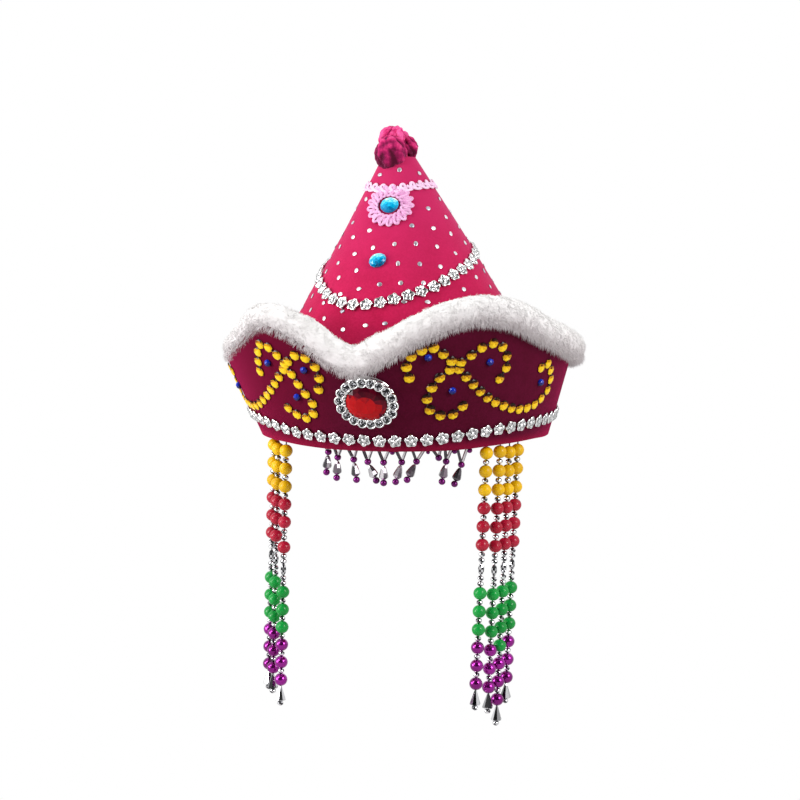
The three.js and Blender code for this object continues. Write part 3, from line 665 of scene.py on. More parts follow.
def makeCrown():
    # the section runs down the outside and up the inside, and a fan under the knot closes each end
    low, top, rows = crown["bandTop"], crown["top"], crown["rows"]
    ceiling = top - crown["cap"]
    outer = np.append(np.linspace(0, low, rows["band"]), np.linspace(low + 1.6, top, rows["cone"]))
    inside = np.linspace(ceiling, low, rows["insideCone"])
    inner = np.append(inside, np.linspace(low - 1, 0, rows["insideBand"]))
    rings = np.concatenate([crownRings(outer, 0)[::-1], crownRings(inner, -crown["wall"])[::-1]])
    peak = coneCentre(np.array(top)) + [0, 0, top + 1]
    hollow = coneCentre(np.array(ceiling)) + [0, 0, ceiling + 1]
    makePiece("crown_felt", [(capped(rings, peak, hollow), finishes["crimson"])], ["crown"])


# Foil dots: a nearly square lattice printed on the felt before it was rolled into the cone

foilDots = {
    "lines": table("spacing heading shift", (13.8, 15.0, -0.33), (13.6, -82.0, -0.721)),
    "reach": 26,
    "radius": 1.6,
    "rise": 0.3,
    "sides": 14,
    "edgeTone": 0.45,
    "low": 46.0,
    "high": 178.0,
    "lastTurn": 178.0,
    "clear": {"band": 4.2, "ring": 1.5, "gem": 7.5, "swag": 2.5},
    "scatter": {"angle": 0.35, "height": 0.3, "tilt": 0.08},
    "width": (0.84, 1.16),
    "shines": [0.0, 0.25, 0.7],
    "shares": [0.55, 0.25, 0.2],
    "seed": 11,
}


def dotsInSight(angle, height):
    # dots under the braid, the stones and the flowers are left out
    clear = foilDots["clear"]
    kept = np.abs(height - braidBandHeight(angle)) > clear["band"]
    kept &= np.abs(height - swagHeight(angle)) > clear["swag"]
    for gem in coneGems:
        kept &= np.hypot(*fromSpot(gem, angle, height)) > clear["gem"]
    ring = braid["ring"]
    right, up = fromSpot(ring, angle, height)
    reach = np.hypot(right / (ring["wide"] / 2 + clear["ring"]), up / (ring["tall"] / 2 + clear["ring"]))
    return kept & (reach > 1)


def dotPlaces():
    # the lattice is flat on the unrolled cone, whose polar angle is the real one times a sine
    normals, shifts = [], []
    for line in foilDots["lines"]:
        heading = math.radians(line["heading"])
        normals.append([math.cos(heading) / line["spacing"], math.sin(heading) / line["spacing"]])
        shifts.append(line["shift"])
    steps = np.arange(-foilDots["reach"], foilDots["reach"] + 1)
    i, j = np.meshgrid(steps, steps)
    counts = np.stack([i.ravel(), j.ravel()], -1) + np.array(shifts)
    flat = counts @ np.linalg.inv(np.array(normals)).T
    slant = np.hypot(flat[:, 0], flat[:, 1])
    turn = np.degrees(np.arctan2(flat[:, 0], -flat[:, 1])) / math.sin(coneHalfAngle)
    height = crown["tip"][2] - slant * coneCos
    kept = (np.abs(turn) < foilDots["lastTurn"]) & (height > foilDots["low"]) & (height < foilDots["high"])
    return turn[kept], height[kept]


def makeDots():
    # each dot is a low round cap, a little off its place, tilted and not quite round
    rng = np.random.default_rng(foilDots["seed"])
    angle, height = dotPlaces()
    kept = dotsInSight(angle, height)
    scatter = foilDots["scatter"]
    angle = angle[kept] + rng.normal(0, scatter["angle"], kept.sum())
    height = height[kept] + rng.normal(0, scatter["height"], kept.sum())
    r, rise, sides = foilDots["radius"], foilDots["rise"], foilDots["sides"]
    dot = turned([r * 0.35, r * 0.8, r, r * 0.9], [rise, rise * 0.9, rise * 0.45, 0], sides)
    dot.tone[sides:] = foilDots["edgeTone"]
    here, right, up, out = framesOn(onCone, angle, height, 0.08)
    tilt = rng.normal(0, scatter["tilt"], (len(angle), 2))
    out = unit(out + tilt[:, :1] * right + tilt[:, 1:] * up)
    wide = rng.uniform(*foilDots["width"], (len(angle), 1))
    right, up = unit(right - out * (right * out).sum(1, keepdims=True)), unit(np.cross(out, right))
    shine = rng.choice(foilDots["shines"], len(angle), p=foilDots["shares"])
    shape = copies(dot, here, right * wide, up / wide, out, shine)
    makePiece("foil_dots", [(shape, finishes["foil"])])


# Cuff: the turned-up brim

cuff = {
    "rimRadius": 94.0,
    "wall": 3.0,
    "lean": 20.0,
    "leanDrift": -4.5,
    "inFur": 3.5,
    "seamGap": 0.2,
    "around": 288,
    "rows": 40,
    "footRows": 9,
    "softness": 0.1,
    "waveLength": 45.0,
}
cuffEdge = smoothRound({
    "angle": [-145, -100, -76, -58, -43, -31, -20, -9, -2, 6, 16.6, 27, 37, 47, 62, 84, 107, 150],
    "height": [
        43.5, 45.5, 49.5, 54, 65, 75.3, 67.5, 51.3, 47.3, 54.3, 66.8, 76.5, 79.5, 75.5, 64, 53, 46, 43.5,
    ],
})


def cuffLean(angle):
    return np.radians(cuff["lean"] + cuff["leanDrift"] * np.sin(np.radians(angle)))


def cuffRadius(angle, z):
    return cuff["rimRadius"] + np.tan(cuffLean(angle)) * z


def onCuff(angle, z, lift=0.0):
    # a point on the cuff's outside, which leans out evenly; lift is along its normal
    angle, z = np.broadcast_arrays(np.asarray(angle, float), np.asarray(z, float))
    lean = cuffLean(angle)
    return polar(angle, cuffRadius(angle, z) + lift * np.cos(lean), z - lift * np.sin(lean))


def makeCuff():
    # the section runs up the outside, over the edge, down the inside and, as half an ellipse, round
    # the foot, which is sewn to the lower edge of the crown
    angle = roundHat(cuff["around"])[:, None]
    top = cuffEdge(angle) + cuff["inFur"]
    wall = cuff["wall"] / np.cos(cuffLean(angle))
    footRise = cuff["wall"] / 2
    foot = rimLift(angle) + footRise
    share = np.linspace(0, 1, cuff["rows"])[None, :] ** 1.2
    outerZ = foot + share * (top - foot)
    innerZ = outerZ[:, ::-4]
    turn = np.radians(np.linspace(180, 360, cuff["footRows"]))[None, 1:-1]
    footInner = crown["bandRadius"] + cuff["seamGap"]
    footHalf = (cuffRadius(angle, foot) - footInner) / 2
    footR = footInner + footHalf * (1 + np.cos(turn))
    footZ = foot + footRise * np.sin(turn)
    radius = np.concatenate([cuffRadius(angle, outerZ), cuffRadius(angle, innerZ) - wall, footR], 1)
    z = np.concatenate([outerZ, innerZ, footZ], 1)
    points = polar(angle, radius, z)
    soft = cuff["softness"] * wobble(points, cuff["waveLength"], 5) * np.clip((z - 2) / 12, 0, 1)
    points = points + polar(angle, 1, 0) * soft[..., None]
    makePiece("cuff_velvet", [(ringed(points), finishes["wine"])], ["brim_cuff"])


# Fur: a backing roll under short hairs that are drawn into small tufts

fur = {
    "radius": 9.0,
    "radiusDrift": 0.8,
    "inset": 3.2,
    "insetDrift": -3.4,
    "rise": 0.94,
    "dip": {"angle": -1.0, "halfWidth": 8.0, "extra": 1.8},
    "backing": 1.3,
    "root": 2.4,
    "core": 8.0,
    "around": 720,
    "sides": 40,
    "lumps": {"large": (0.3, 7), "small": (0.16, 2.2)},
    "hairs": 52000,
    "turns": (-90, 215),
    "pieces": 4,
    "length": (2.4, 3.6),
    "hang": 0.8,
    "thickness": (0.185, 0.142),
    "tuft": 4.0,
    "seed": 23,
}


def furPaintedShade(turn):
    # painted shade: the plush is white on top and greyer underneath
    return 0.72 + 0.28 * np.sin(np.radians(np.asarray(turn) - 20.0))


def furSection(angle):
    # the roll's middle and half sizes; on a steep stretch it is stretched upwards
    side = np.sin(np.radians(angle))
    half = fur["radius"] + fur["radiusDrift"] * side
    probe = 1.5
    edge = cuffEdge(angle)
    rise = cuffEdge(angle + probe) - cuffEdge(angle - probe)
    run = math.radians(2 * probe) * cuffRadius(angle, edge)
    dip = np.exp(-(((angle - fur["dip"]["angle"]) / fur["dip"]["halfWidth"]) ** 2))
    tall = half * np.hypot(1, rise / run) + fur["dip"]["extra"] * dip
    radius = cuffRadius(angle, edge + cuff["inFur"]) - fur["inset"] - fur["insetDrift"] * side
    return radius, edge + fur["rise"] * tall, half, tall


def onFur(angle, turn, shrink):
    # a point on the roll's oval section, as far inside its skin as shrink says
    radius, height, half, tall = furSection(angle)
    t = np.radians(turn)
    return polar(angle, radius + (half - shrink) * np.cos(t), height + (tall - shrink) * np.sin(t))


def makeFurBacking():
    # a roll whose surface has low lumps, like plush that lies close
    angle = roundHat(fur["around"])[:, None]
    turn = np.linspace(0, 360, fur["sides"], endpoint=False)[None, :]
    points = onFur(angle, turn, fur["backing"])
    (large, largeSize), (small, smallSize) = fur["lumps"]["large"], fur["lumps"]["small"]
    lumps = large * wobble(points, largeSize, 7) + small * wobble(points, smallSize, 8)
    points = points + unit(points - onFur(angle, turn, fur["core"])) * lumps[..., None]
    shape = ringed(points)
    # painted shade: greyer towards the underside of the roll
    shape.tone = np.broadcast_to(furPaintedShade(turn), points.shape[:2]).ravel()
    makePiece("fur_backing", [(shape, finishes["fur"])], ["fur_trim"])


def combedWay(angle, turn, root, normal):
    # the plush is combed down and outwards round the roll, and sways along it in slow waves
    ahead = unit(onFur(angle + 0.5, turn, 0.0) - onFur(angle - 0.5, turn, 0.0))
    around = np.cross(ahead, normal)
    around = around * np.sign((around * (polar(angle, 1, 0) * 0.3 + [0, 0, -1])).sum(-1, keepdims=True))
    sway = wobble(root, 26, 31)[:, None] * 0.6 + wobble(root, 8, 32)[:, None] * 0.5
    return unit(around * (0.7 + 0.3 * wobble(root, 12, 33)[:, None]) + ahead * sway)


def hairSpikes(root, bend, tip, side, across):
    # three-sided spikes: a triangle at the root, a smaller one at the bend, and the tip
    a = np.radians([0, 120, 240])[None, :, None]
    spread = np.cos(a) * side[:, None] + np.sin(a) * across[:, None]
    low = root[:, None] + spread * fur["thickness"][0]
    mid = bend[:, None] + spread * fur["thickness"][1]
    return np.concatenate([low, mid, tip[:, None]], 1)


def makeFurHairs():
    # each hair leans the way that the plush is combed, bends once, and is drawn into its tuft
    rng = np.random.default_rng(fur["seed"])
    fine = np.linspace(-180, 180, 1441)
    share, _ = evenAlong(onFur(fine, np.full_like(fine, 45.0), 0.0))
    count = fur["hairs"]
    angle = np.interp(rng.random(count), share, fine)
    turn = rng.uniform(*fur["turns"], count)
    root = onFur(angle, turn, fur["root"])
    normal = unit(root - onFur(angle, turn, fur["core"]))
    inCuff = np.hypot(root[:, 0], root[:, 1]) < cuffRadius(angle, root[:, 2]) - 0.5
    covered = inCuff & (root[:, 2] < cuffEdge(angle) + 1)
    comb = combedWay(angle, turn, root, normal)
    # the hairs lie close, but those at the lower edge stand down over the velvet and are longer
    lying = np.clip((turn + 50) / 30, 0, 1)[:, None]
    tuft = np.stack([wobble(root, fur["tuft"], s) for s in (34, 35, 36)], -1)
    loose = rng.normal(0, 1, (count, 3))
    first = unit(normal + 0.6 * lying * comb + 0.1 * loose + 0.12 * tuft)
    second = unit((1.0 - 0.75 * lying) * normal + 0.9 * lying * comb + 0.16 * loose + 0.3 * tuft)
    length = rng.uniform(*fur["length"], (count, 1)) * (1 + fur["hang"] * (1 - lying))
    bend = root + first * length * 0.5
    tip = bend + second * length * 0.5
    side = unit(np.cross(first, rng.normal(0, 1, (count, 3))))
    points = hairSpikes(root, bend, tip, side, np.cross(first, side))
    quads = np.array([[0, 1, 4, 3], [1, 2, 5, 4], [2, 0, 3, 5]])
    tris = np.array([[3, 4, 6], [4, 5, 6], [5, 3, 6], [0, 2, 1]])
    # painted shade round the roll, and a tone that differs at random
    tone = furPaintedShade(turn) + rng.uniform(-0.1, 0.06, count)
    sector = np.floor((angle + 180) / 360 * fur["pieces"]).astype(int)
    for number in range(fur["pieces"]):
        picked = (sector == number) & ~covered
        starts = (np.arange(picked.sum()) * points.shape[1])[:, None, None]
        tones = np.append(np.repeat(tone[picked], len(quads)), np.repeat(tone[picked], len(tris)))
        shape = Shape(points[picked], quads + starts, tris + starts, tones)
        makePiece(f"fur_hair_{number + 1}", [(shape, finishes["fur"])])


# Knot of rolled felt on the tip

knot = {
    "lobes": table(
        "at wide tall folds twist depth pink",
        ((-7.5, -10.0, 183.2), 10.0, 11.3, 5, 1.6, 0.12, -0.1),
        ((-8.4, -3.0, 191.8), 8.6, 9.2, 6, -2.2, 0.22, 0.0),
        ((1.3, 1.0, 187.0), 6.6, 7.0, 6, 2.6, 0.24, -0.15),
        ((-5.5, 4.0, 188.5), 8.0, 9.4, 5, -2.0, 0.16, 0.0),
        ((-1.8, -7.2, 194.2), 3.0, 5.4, 2, 1.0, 0.1, 0.3),
    ),
    "around": 84,
    "rows": 48,
    "crumple": 0.55,
    "paintedDarkBelow": 178.0,
    "paintedLightAbove": 196.0,
    "shade": {"base": 0.24, "height": 0.55, "crease": 0.6, "crumple": 0.3, "ends": [0.2, 0.7]},
}


def knotLobe(number, lobe):
    # an ellipsoid that swells in ridges which wind round it, crumpled all over; its painted shade
    # grows lighter with height and is darker in the creases
    around = circle(knot["around"])[None, :]
    rise = np.linspace(-np.pi / 2, np.pi / 2, knot["rows"] + 2)[1:-1, None]
    ridge = np.abs(np.sin(lobe["folds"] / 2 * around + lobe["twist"] * rise)) ** 0.6
    size = 1.04 - lobe["depth"] * (1 - ridge) * np.cos(rise) ** 0.5
    x = lobe["wide"] * np.cos(rise) * np.cos(around) * size
    y = lobe["wide"] * np.cos(rise) * np.sin(around) * size
    z = lobe["tall"] * np.sin(rise) * size
    middle = np.array(lobe["at"])
    rings = np.stack([x, y, z], -1) + middle
    crumple = wobble(rings, 6, 40 + number) + 0.45 * wobble(rings, 2.6, 50 + number)
    rings = rings + unit(rings - middle) * (knot["crumple"] * crumple)[..., None]
    # painted light and shade: lighter higher up, darker in the creases, and following the crumples
    level = (rings[..., 2] - knot["paintedDarkBelow"]) / (knot["paintedLightAbove"] - knot["paintedDarkBelow"])
    weights = knot["shade"]
    shade = weights["base"] + weights["height"] * level - weights["crease"] * (1 - ridge) ** 2
    shade = shade + weights["crumple"] * crumple + lobe["pink"]
    end = np.array([0, 0, lobe["tall"]])
    return capped(rings, middle - end, middle + end).shaded(np.append(shade.ravel(), weights["ends"]))


def makeKnot():
    lobes = [(knotLobe(number, lobe), finishes["knot"]) for number, lobe in enumerate(knot["lobes"])]
    makePiece("knot_felt", lobes, ["top_knot"])


# Looped braid

braid = {
    "bandWidth": 6.8,
    "bandStyle": {"loops": 22, "along": 2.7, "pale": 0.5, "inner": 0.4},
    "ring": {"angle": -2.8, "height": 149.3, "wide": 32.0, "tall": 31.0, "strip": 9.0},
    "ringStyle": {"loops": 17, "along": 1.9, "pale": 0.0, "inner": 0.5},
    "cord": 1.0,
    "sides": 7,
    "flat": 0.5,
    "inset": 0.9,
    "steps": 26,
}
braidBandHeight = smoothRound({
    "angle": [-125, -65, -5, 20, 40, 75, 145],
    "height": [162.5, 161.7, 160, 160.9, 162.1, 163, 163],
})


def coiledCords(place, whole, half, style):
    # a cord goes forward evenly while it circles: along = pitch t - reach sin, across = half cos;
    # where it crosses itself, the part on its way down lies on the part on its way up. The second
    # cord circles less far, half a loop later
    loops = style["loops"]
    cords = []
    for share, late in ((1.0, 0.0), (style["inner"], np.pi)):
        t = np.linspace(0, loops, loops * braid["steps"], endpoint=False)
        turn = 2 * np.pi * t + late
        along = whole / loops * t - share * style["along"] * np.sin(turn)
        across = (half - braid["inset"]) * share * np.cos(turn)
        lift = braid["cord"] * braid["flat"] * share + 0.3 + 0.3 * np.sin(turn)
        path, out = place(along, across, lift)
        cord = swept(path, out, braid["cord"], braid["sides"], flat=braid["flat"])
        cord.tone += style["pale"]
        cords.append((cord, finishes["braid"]))
    return cords


def makeBraidBand():
    # the strip's length runs round the cone, and its width up the slope
    radius = coneRadius(braidBandHeight(0.0))

    def place(along, across, lift):
        angle = np.degrees(along / radius)
        here, _, _, out = framesOn(onCone, angle, braidBandHeight(angle) + across * coneCos)
        return here + out * (seam + lift)[:, None], out

    cords = coiledCords(place, 2 * np.pi * radius, braid["bandWidth"] / 2, braid["bandStyle"])
    makePiece("braid_band", cords, ["pink_band"])


def makeBraidRing():
    # the strip's length runs round an oval on the cone, and its width outwards
    ring = braid["ring"]
    half = ring["strip"] / 2
    wide, tall = ring["wide"] / 2 - half, ring["tall"] / 2 - half
    t = np.linspace(0, 2 * np.pi, 361)
    share, whole = evenAlong(np.stack([wide * np.cos(t), tall * np.sin(t), 0 * t], -1))

    def place(along, across, lift):
        turn = np.interp(np.mod(along / whole, 1), share, t)
        right, up = (wide + across) * np.cos(turn), (tall + across) * np.sin(turn)
        here = besideSpot(ring, right, up, seam + lift)
        return here, unit(besideSpot(ring, right, up, seam + lift + 1) - here)

    makePiece("braid_ring", coiledCords(place, whole, half, braid["ringStyle"]), ["pink_ring"])


# Cut stones

cuts = {
    "oval": {"sides": 12, "table": 0.42, "middle": 0.78, "base": 0.2},
    "round": {"sides": 8, "table": 0.45, "middle": 0.8, "base": 0.3},
    "scroll": {"sides": 8, "table": 0.46, "middle": 0.8, "base": 0.25},
    "brooch": {"sides": 16, "table": 0.5, "middle": 0.8, "base": 0.25},
}
coneGems = table(
    "name angle height wide tall rise turn",
    ("gem_upper", -2.2, 149.7, 12.2, 11.6, 3.0, 0.0),
    ("gem_lower", -6.4, 115.2, 11.5, 10.2, 3.4, 20.0),
)


def cutShape(cut, seed):
    # rings at the girdle, half way up and at the table, each turned half a step from the last, so
    # that the faces between them are triangles; a facet is painted dark near the top and bright lower down
    cut = cuts[cut]
    sides, base = cut["sides"], cut["base"]
    waist = base + (1 - base) * 0.6
    rings = []
    levels = ((0.94, 0.0, 0.0), (1.0, base, 0.0), (cut["middle"], waist, 1.0), (cut["table"], 1.0, 0.0))
    for reach, z, turn in levels:
        a = circle(sides) + turn * np.pi / sides
        rings.append(np.stack([reach * np.cos(a), reach * np.sin(a), np.full(sides, z)], -1))
    points = np.vstack([*rings, [[0, 0, 0]], [[0, 0.1, 1.0]]])
    j = np.arange(sides)
    k = (j + 1) % sides
    girdle, middle, rim, bottom, top = (sides * row for row in (1, 2, 3, 4, 4))
    corners = [
        (girdle + j, girdle + k, middle + j),
        (middle + j, girdle + k, middle + k),
        (middle + j, rim + k, rim + j),
        (middle + j, middle + k, rim + k),
        (rim + j, rim + k, np.full(sides, top + 1)),
        (k, j, np.full(sides, bottom)),
    ]
    tris = np.vstack([np.stack(corner, -1) for corner in corners])
    shape = Shape(points, np.stack([j, k, girdle + k, girdle + j], -1), tris).outward()
    height = shape.middles()[:, 1]
    shape.tone = 0.72 - 0.85 * height + np.random.default_rng(seed).uniform(-0.2, 0.2, len(height))
    return shape


def makeConeGems():
    for number, gem in enumerate(coneGems):
        shape = cutShape("oval", number).scaled(gem["wide"], gem["tall"], gem["rise"])
        # painted highlight: these are brighter near the top
        shape.tone = 0.55 + 0.62 * (0.7 - shape.tone)
        laid = laidAt(shape, onCone, gem)
        makePiece(f"{gem['name']}_cut", [(laid, finishes["cyan"], "flat")], [gem["name"]])


# Flower sequins

flowers = {
    "width": 8.9,
    "thickness": 1.8,
    "petals": 5,
    "steps": 8,
    "valley": 0.3,
    "blunt": 0.2,
    "thread": 0.3,
}
# a flower's rings, from its foot to the button in its middle: their reach and height, how far the
# ridge of a petal rises and a petal stands out, and how much painted shade the groove and the valleys take
flowerRings = table(
    "reach height ridge petal groove dusk",
    (0.96, 0.0, 0.0, 1.0, 0.5, 0.0),
    (1.0, 0.35, 0.0, 1.0, 0.0, 0.0),
    (0.93, 0.72, 0.0, 1.0, 0.0, 0.25),
    (0.84, 0.7, 0.0, 1.0, 0.1, 0.25),
    (0.74, 0.42, 0.5, 1.0, 0.75, 0.25),
    (0.5, 0.5, 0.6, 0.6, 0.35, 0.25),
    (0.36, 0.35, 0.2, 0.2, 0.9, 0.0),
    (0.27, 0.85, 0.0, 0.0, 0.15, 0.0),
    (0.14, 1.0, 0.0, 0.0, 0.0, 0.0),
)
swagHeight = smoothRound({
    "angle": [
        -152.4, -112.4, -82.4, -62.4, -50.4, -33.4, -16.4, -2.4, 15.1, 31.6, 47.6, 67.6, 84.6, 107.6, 162.6,
    ],
    "height": [121, 117, 109, 102.5, 97.9, 91.2, 87.8, 89.2, 93.9, 99.2, 106.2, 112.7, 118, 122, 124],
})
rimHeight = smoothRound({
    "angle": [-150, -90, -54, -26, 0, 22, 45, 70, 110, 165],
    "height": [14, 15.5, 15.2, 9.9, 7.9, 8.7, 12.6, 14.8, 15, 13.5],
})


def flowerShape():
    # pointed petals: the reach falls from each petal's tip to the valley beside it
    petals = flowers["petals"]
    ring = {key: np.array([row[key] for row in flowerRings])[:, None] for key in flowerRings[0]}
    around = circle(petals * flowers["steps"])[None, :]
    beside = np.abs(np.mod(petals * around / (2 * np.pi) + 0.5, 1) - 0.5) * 2
    point = np.sqrt(beside**2 + flowers["blunt"] ** 2) - flowers["blunt"]
    reach = ring["reach"] * (1 - flowers["valley"] * ring["petal"] * point) * flowers["width"] / 2
    z = flowers["thickness"] * (ring["height"] + ring["ridge"] * np.clip(1 - 2.2 * beside, 0, 1))
    a = around + np.pi / 2
    rings = np.stack([reach * np.cos(a), reach * np.sin(a), z], -1)
    shape = capped(rings, [0, 0, 0], [0, 0, flowers["thickness"] * 1.02])
    # painted shade in the groove and the valleys, and a painted highlight along each petal's ridge
    groove = ring["groove"] - 0.8 * ring["ridge"] * (1 - beside) + ring["dusk"] * beside
    shade = np.append(np.clip(groove, 0, 1).ravel(), [0, 0])
    shape.tone[: len(shape.quads)] = shade[shape.quads].mean(1)
    return shape


def flowerChain(name, surface, heightAt, pitch, node):
    # flowers at even lengths along a closed line on the felt, on a thin thread
    angle = roundHat(1440)
    line = surface(angle, heightAt(angle), seam)
    share, whole = evenAlong(line, closed=True)
    count = round(whole / pitch)
    places = np.interp((np.arange(count) + 0.5) / count, share, np.append(angle, 180))
    here, right, up, out = framesOn(surface, places, heightAt(places), seam)
    rng = np.random.default_rng(count)
    right, up = turnedFrame(right, up, rng.normal(0, 0.2, (count, 1)))
    tilt = unit(out + 0.08 * rng.normal(size=(count, 3)))
    laid = copies(flowerShape(), here + out * 0.15, right, up, tilt)
    normals = framesOn(surface, angle, heightAt(angle), seam)[3]
    thread = feltThread(line, normals, 3, flowers["thread"], closed=True)
    makePiece(name, [(laid, finishes["silver"]), (thread, finishes["thread"])], [node])


# Brooch

brooch = {
    "angle": 0.9,
    "height": 33.0,
    "wide": 40.0,
    "tall": 34.0,
    "turn": -9.0,
    "cups": 18,
    "cupRadius": 3.3,
    "cupSides": 20,
    "cupStone": 4.0,
    "stoneLift": 2.5,
    "teeth": 36,
    "seed": 6,
}
broochStone = {"wide": 25.8, "tall": 22.6, "rise": 3.6, "lift": 3.0}
# sections from the foot upwards: reach is a share of the cup's radius, and otherwise the distance
# outside the stone's edge
cupSection = {
    "reach": [0.72, 0.9, 1.0, 0.99, 0.88, 0.72, 0.62],
    "height": [0.0, 0.3, 1.6, 3.0, 3.6, 3.4, 2.5],
}
plateSection = {"reach": [3.0, 5.7, 5.7, 3.0], "height": [0.0, 0.2, 1.3, 1.8]}
bezelSection = {"reach": [1.2, 1.5, 1.1, 0.2, -0.4, 0.2], "height": [1.6, 3.2, 4.1, 4.0, 3.2, 1.6]}


def ovalRings(section, sides, milled=0.0):
    # ovals as far outside the stone's edge as their reach says, with a small tooth every four sides
    a = circle(sides)[None, :]
    teeth = 1 + milled * np.cos(sides / 4 * a)
    grow = np.asarray(section["reach"])[:, None]
    x = (broochStone["wide"] / 2 + grow) * np.cos(a) * teeth
    y = (broochStone["tall"] / 2 + grow) * np.sin(a) * teeth
    return np.stack([x, y, np.asarray(section["height"])[:, None] + 0 * a], -1)


def cupRing(rng):
    # cups at even lengths round the oval, each with a dark stone turned at random
    count, r = brooch["cups"], brooch["cupRadius"]
    wide, tall = brooch["wide"] / 2 - r, brooch["tall"] / 2 - r
    turn = np.linspace(0, 2 * np.pi, 721)
    share, _ = evenAlong(np.stack([wide * np.cos(turn), tall * np.sin(turn), 0 * turn], -1))
    t = np.interp((np.arange(count) + 0.25) / count, share, turn)
    flat = np.stack([wide * np.cos(t), tall * np.sin(t), np.full(count, 0.9)], -1)
    cup = turned(np.array(cupSection["reach"]) * r, cupSection["height"], brooch["cupSides"])
    right, up, out = np.eye(3)
    cups = copies(cup, flat, right, up, out)
    spin = rng.uniform(0, 2 * np.pi, (count, 1))
    across = np.cos(spin) * right + np.sin(spin) * up
    stone = cutShape("round", 5).scaled(brooch["cupStone"], brooch["cupStone"], 1.6)
    # painted glints: a few facets of the dark stones are pale
    stone.tone = rng.choice([0.1, 0.45, 1.0], len(stone.tone), p=[0.6, 0.25, 0.15])
    lifted = flat + [0, 0, brooch["stoneLift"]]
    stones = copies(stone, lifted, across, np.cross(out, across), out, rng.uniform(-0.1, 0.1, count))
    return cups, stones


def bigStone(rng):
    # the facets at the top and at the right end are in the dark, and so are the lowest ones
    shape = cutShape("brooch", 9)
    x, y, _ = shape.middles().T
    dusk = np.clip((y - 0.2) / 0.35, 0, 1) + 0.6 * np.clip((x - 0.45) / 0.3, 0, 1)
    tone = 0.85 - 0.8 * dusk + rng.uniform(-0.14, 0.14, len(dusk)) - 0.3 * (y < -0.78)
    shape = shape.scaled(broochStone["wide"] - 0.4, broochStone["tall"] - 0.4, broochStone["rise"])
    shape.points = shape.points + [0, 0, broochStone["lift"]]
    shape.tone = tone
    return shape


def makeBrooch():
    # a plate, a milled bezel round the stone, and the ring of cups
    rng = np.random.default_rng(brooch["seed"])
    cups, stones = cupRing(rng)
    plateTop = [0, 0, plateSection["height"][-1]]
    plate = capped(ovalRings(plateSection, 2 * brooch["teeth"]), [0, 0, 0], plateTop)
    # the bezel's faces are striped bright and dark, painted reflections round its milling
    bezel = ringed(ovalRings(bezelSection, 4 * brooch["teeth"], 0.02)).striped([0.9, 0.9, 0.0, 0.0])
    metal = [(laidAt(shape, onCuff, brooch), finishes["silver"]) for shape in (plate, bezel, cups)]
    metal.append((laidAt(stones, onCuff, brooch), finishes["jet"], "flat"))
    makePiece("brooch_setting", metal, ["brooch_frame"])
    stone = laidAt(bigStone(rng), onCuff, brooch)
    makePiece("brooch_stone_cut", [(stone, finishes["ruby"], "flat")], ["brooch_stone"])


# Scrolls of gold stones, each two crossing rows, and the blue stones in their loops

scroll = {
    "width": 6.9,
    "rise": 1.2,
    "thread": 0.4,
    "flatScale": 100.0,
    "pale": {"most": 0.26, "middle": 18.0, "from": 28.0, "over": 15.0},
}
scrollRows = {
    "scroll_right": [
        {
            "stones": 24,
            "angle": [
                14.5, 13.6, 14.6, 17.7, 21.4, 27, 35.5, 42.1, 49.7, 58.3, 66.8, 72.8, 72.2, 67.7, 64.2,
            ],
            "height": [
                47.8, 54.7, 60.2, 64.3, 66.2, 58.4, 43.2, 33.7, 27.8, 24.6, 27.2, 35.7, 44, 52.1, 50.1,
            ],
        },
        {
            "stones": 16,
            "angle": [32.9, 29.5, 25.7, 22.1, 20.3, 23.3, 31.7, 38.2, 41.9, 45, 47.4, 45.4],
            "height": [29.4, 24.3, 23.9, 26.7, 32.4, 46, 58.3, 66.7, 67.8, 63.9, 54.5, 45.5],
        },
    ],
    "scroll_left": [
        {
            "stones": 23,
            "angle": [
                -15.4, -14.4, -14.8, -17.2, -20.1, -23, -28.1, -33.4, -39.3, -51.2, -65, -72.5, -73,
                -69, -64.5,
            ],
            "height": [39.5, 46, 53, 58.3, 60.5, 58.3, 49, 40.7, 33, 23.8, 24.5, 30.5, 39, 45.5, 44],
        },
        {
            "stones": 15,
            "angle": [-38.6, -37.4, -33.9, -31.7, -27.3, -22.4, -18.8, -19.8, -23.4, -27, -30.4],
            "height": [47.9, 55.6, 65.8, 65.3, 57.9, 40.8, 28.5, 23.3, 20.2, 22, 25.8],
        },
    ],
}
scrollGem = {"width": 5.0, "rise": 2.4}
scrollGems = table(
    "name angle height",
    ("scroll_gem_right_1", 20.1, 60.1),
    ("scroll_gem_right_2", 40.4, 56.2),
    ("scroll_gem_right_3", 28.6, 39.2),
    ("scroll_gem_right_4", 65.7, 40.4),
    ("scroll_gem_left_1", -19.1, 51.1),
    ("scroll_gem_left_2", -32.9, 54.1),
    ("scroll_gem_left_3", -24.6, 33.4),
    ("scroll_gem_left_4", -64.4, 34.5),
)


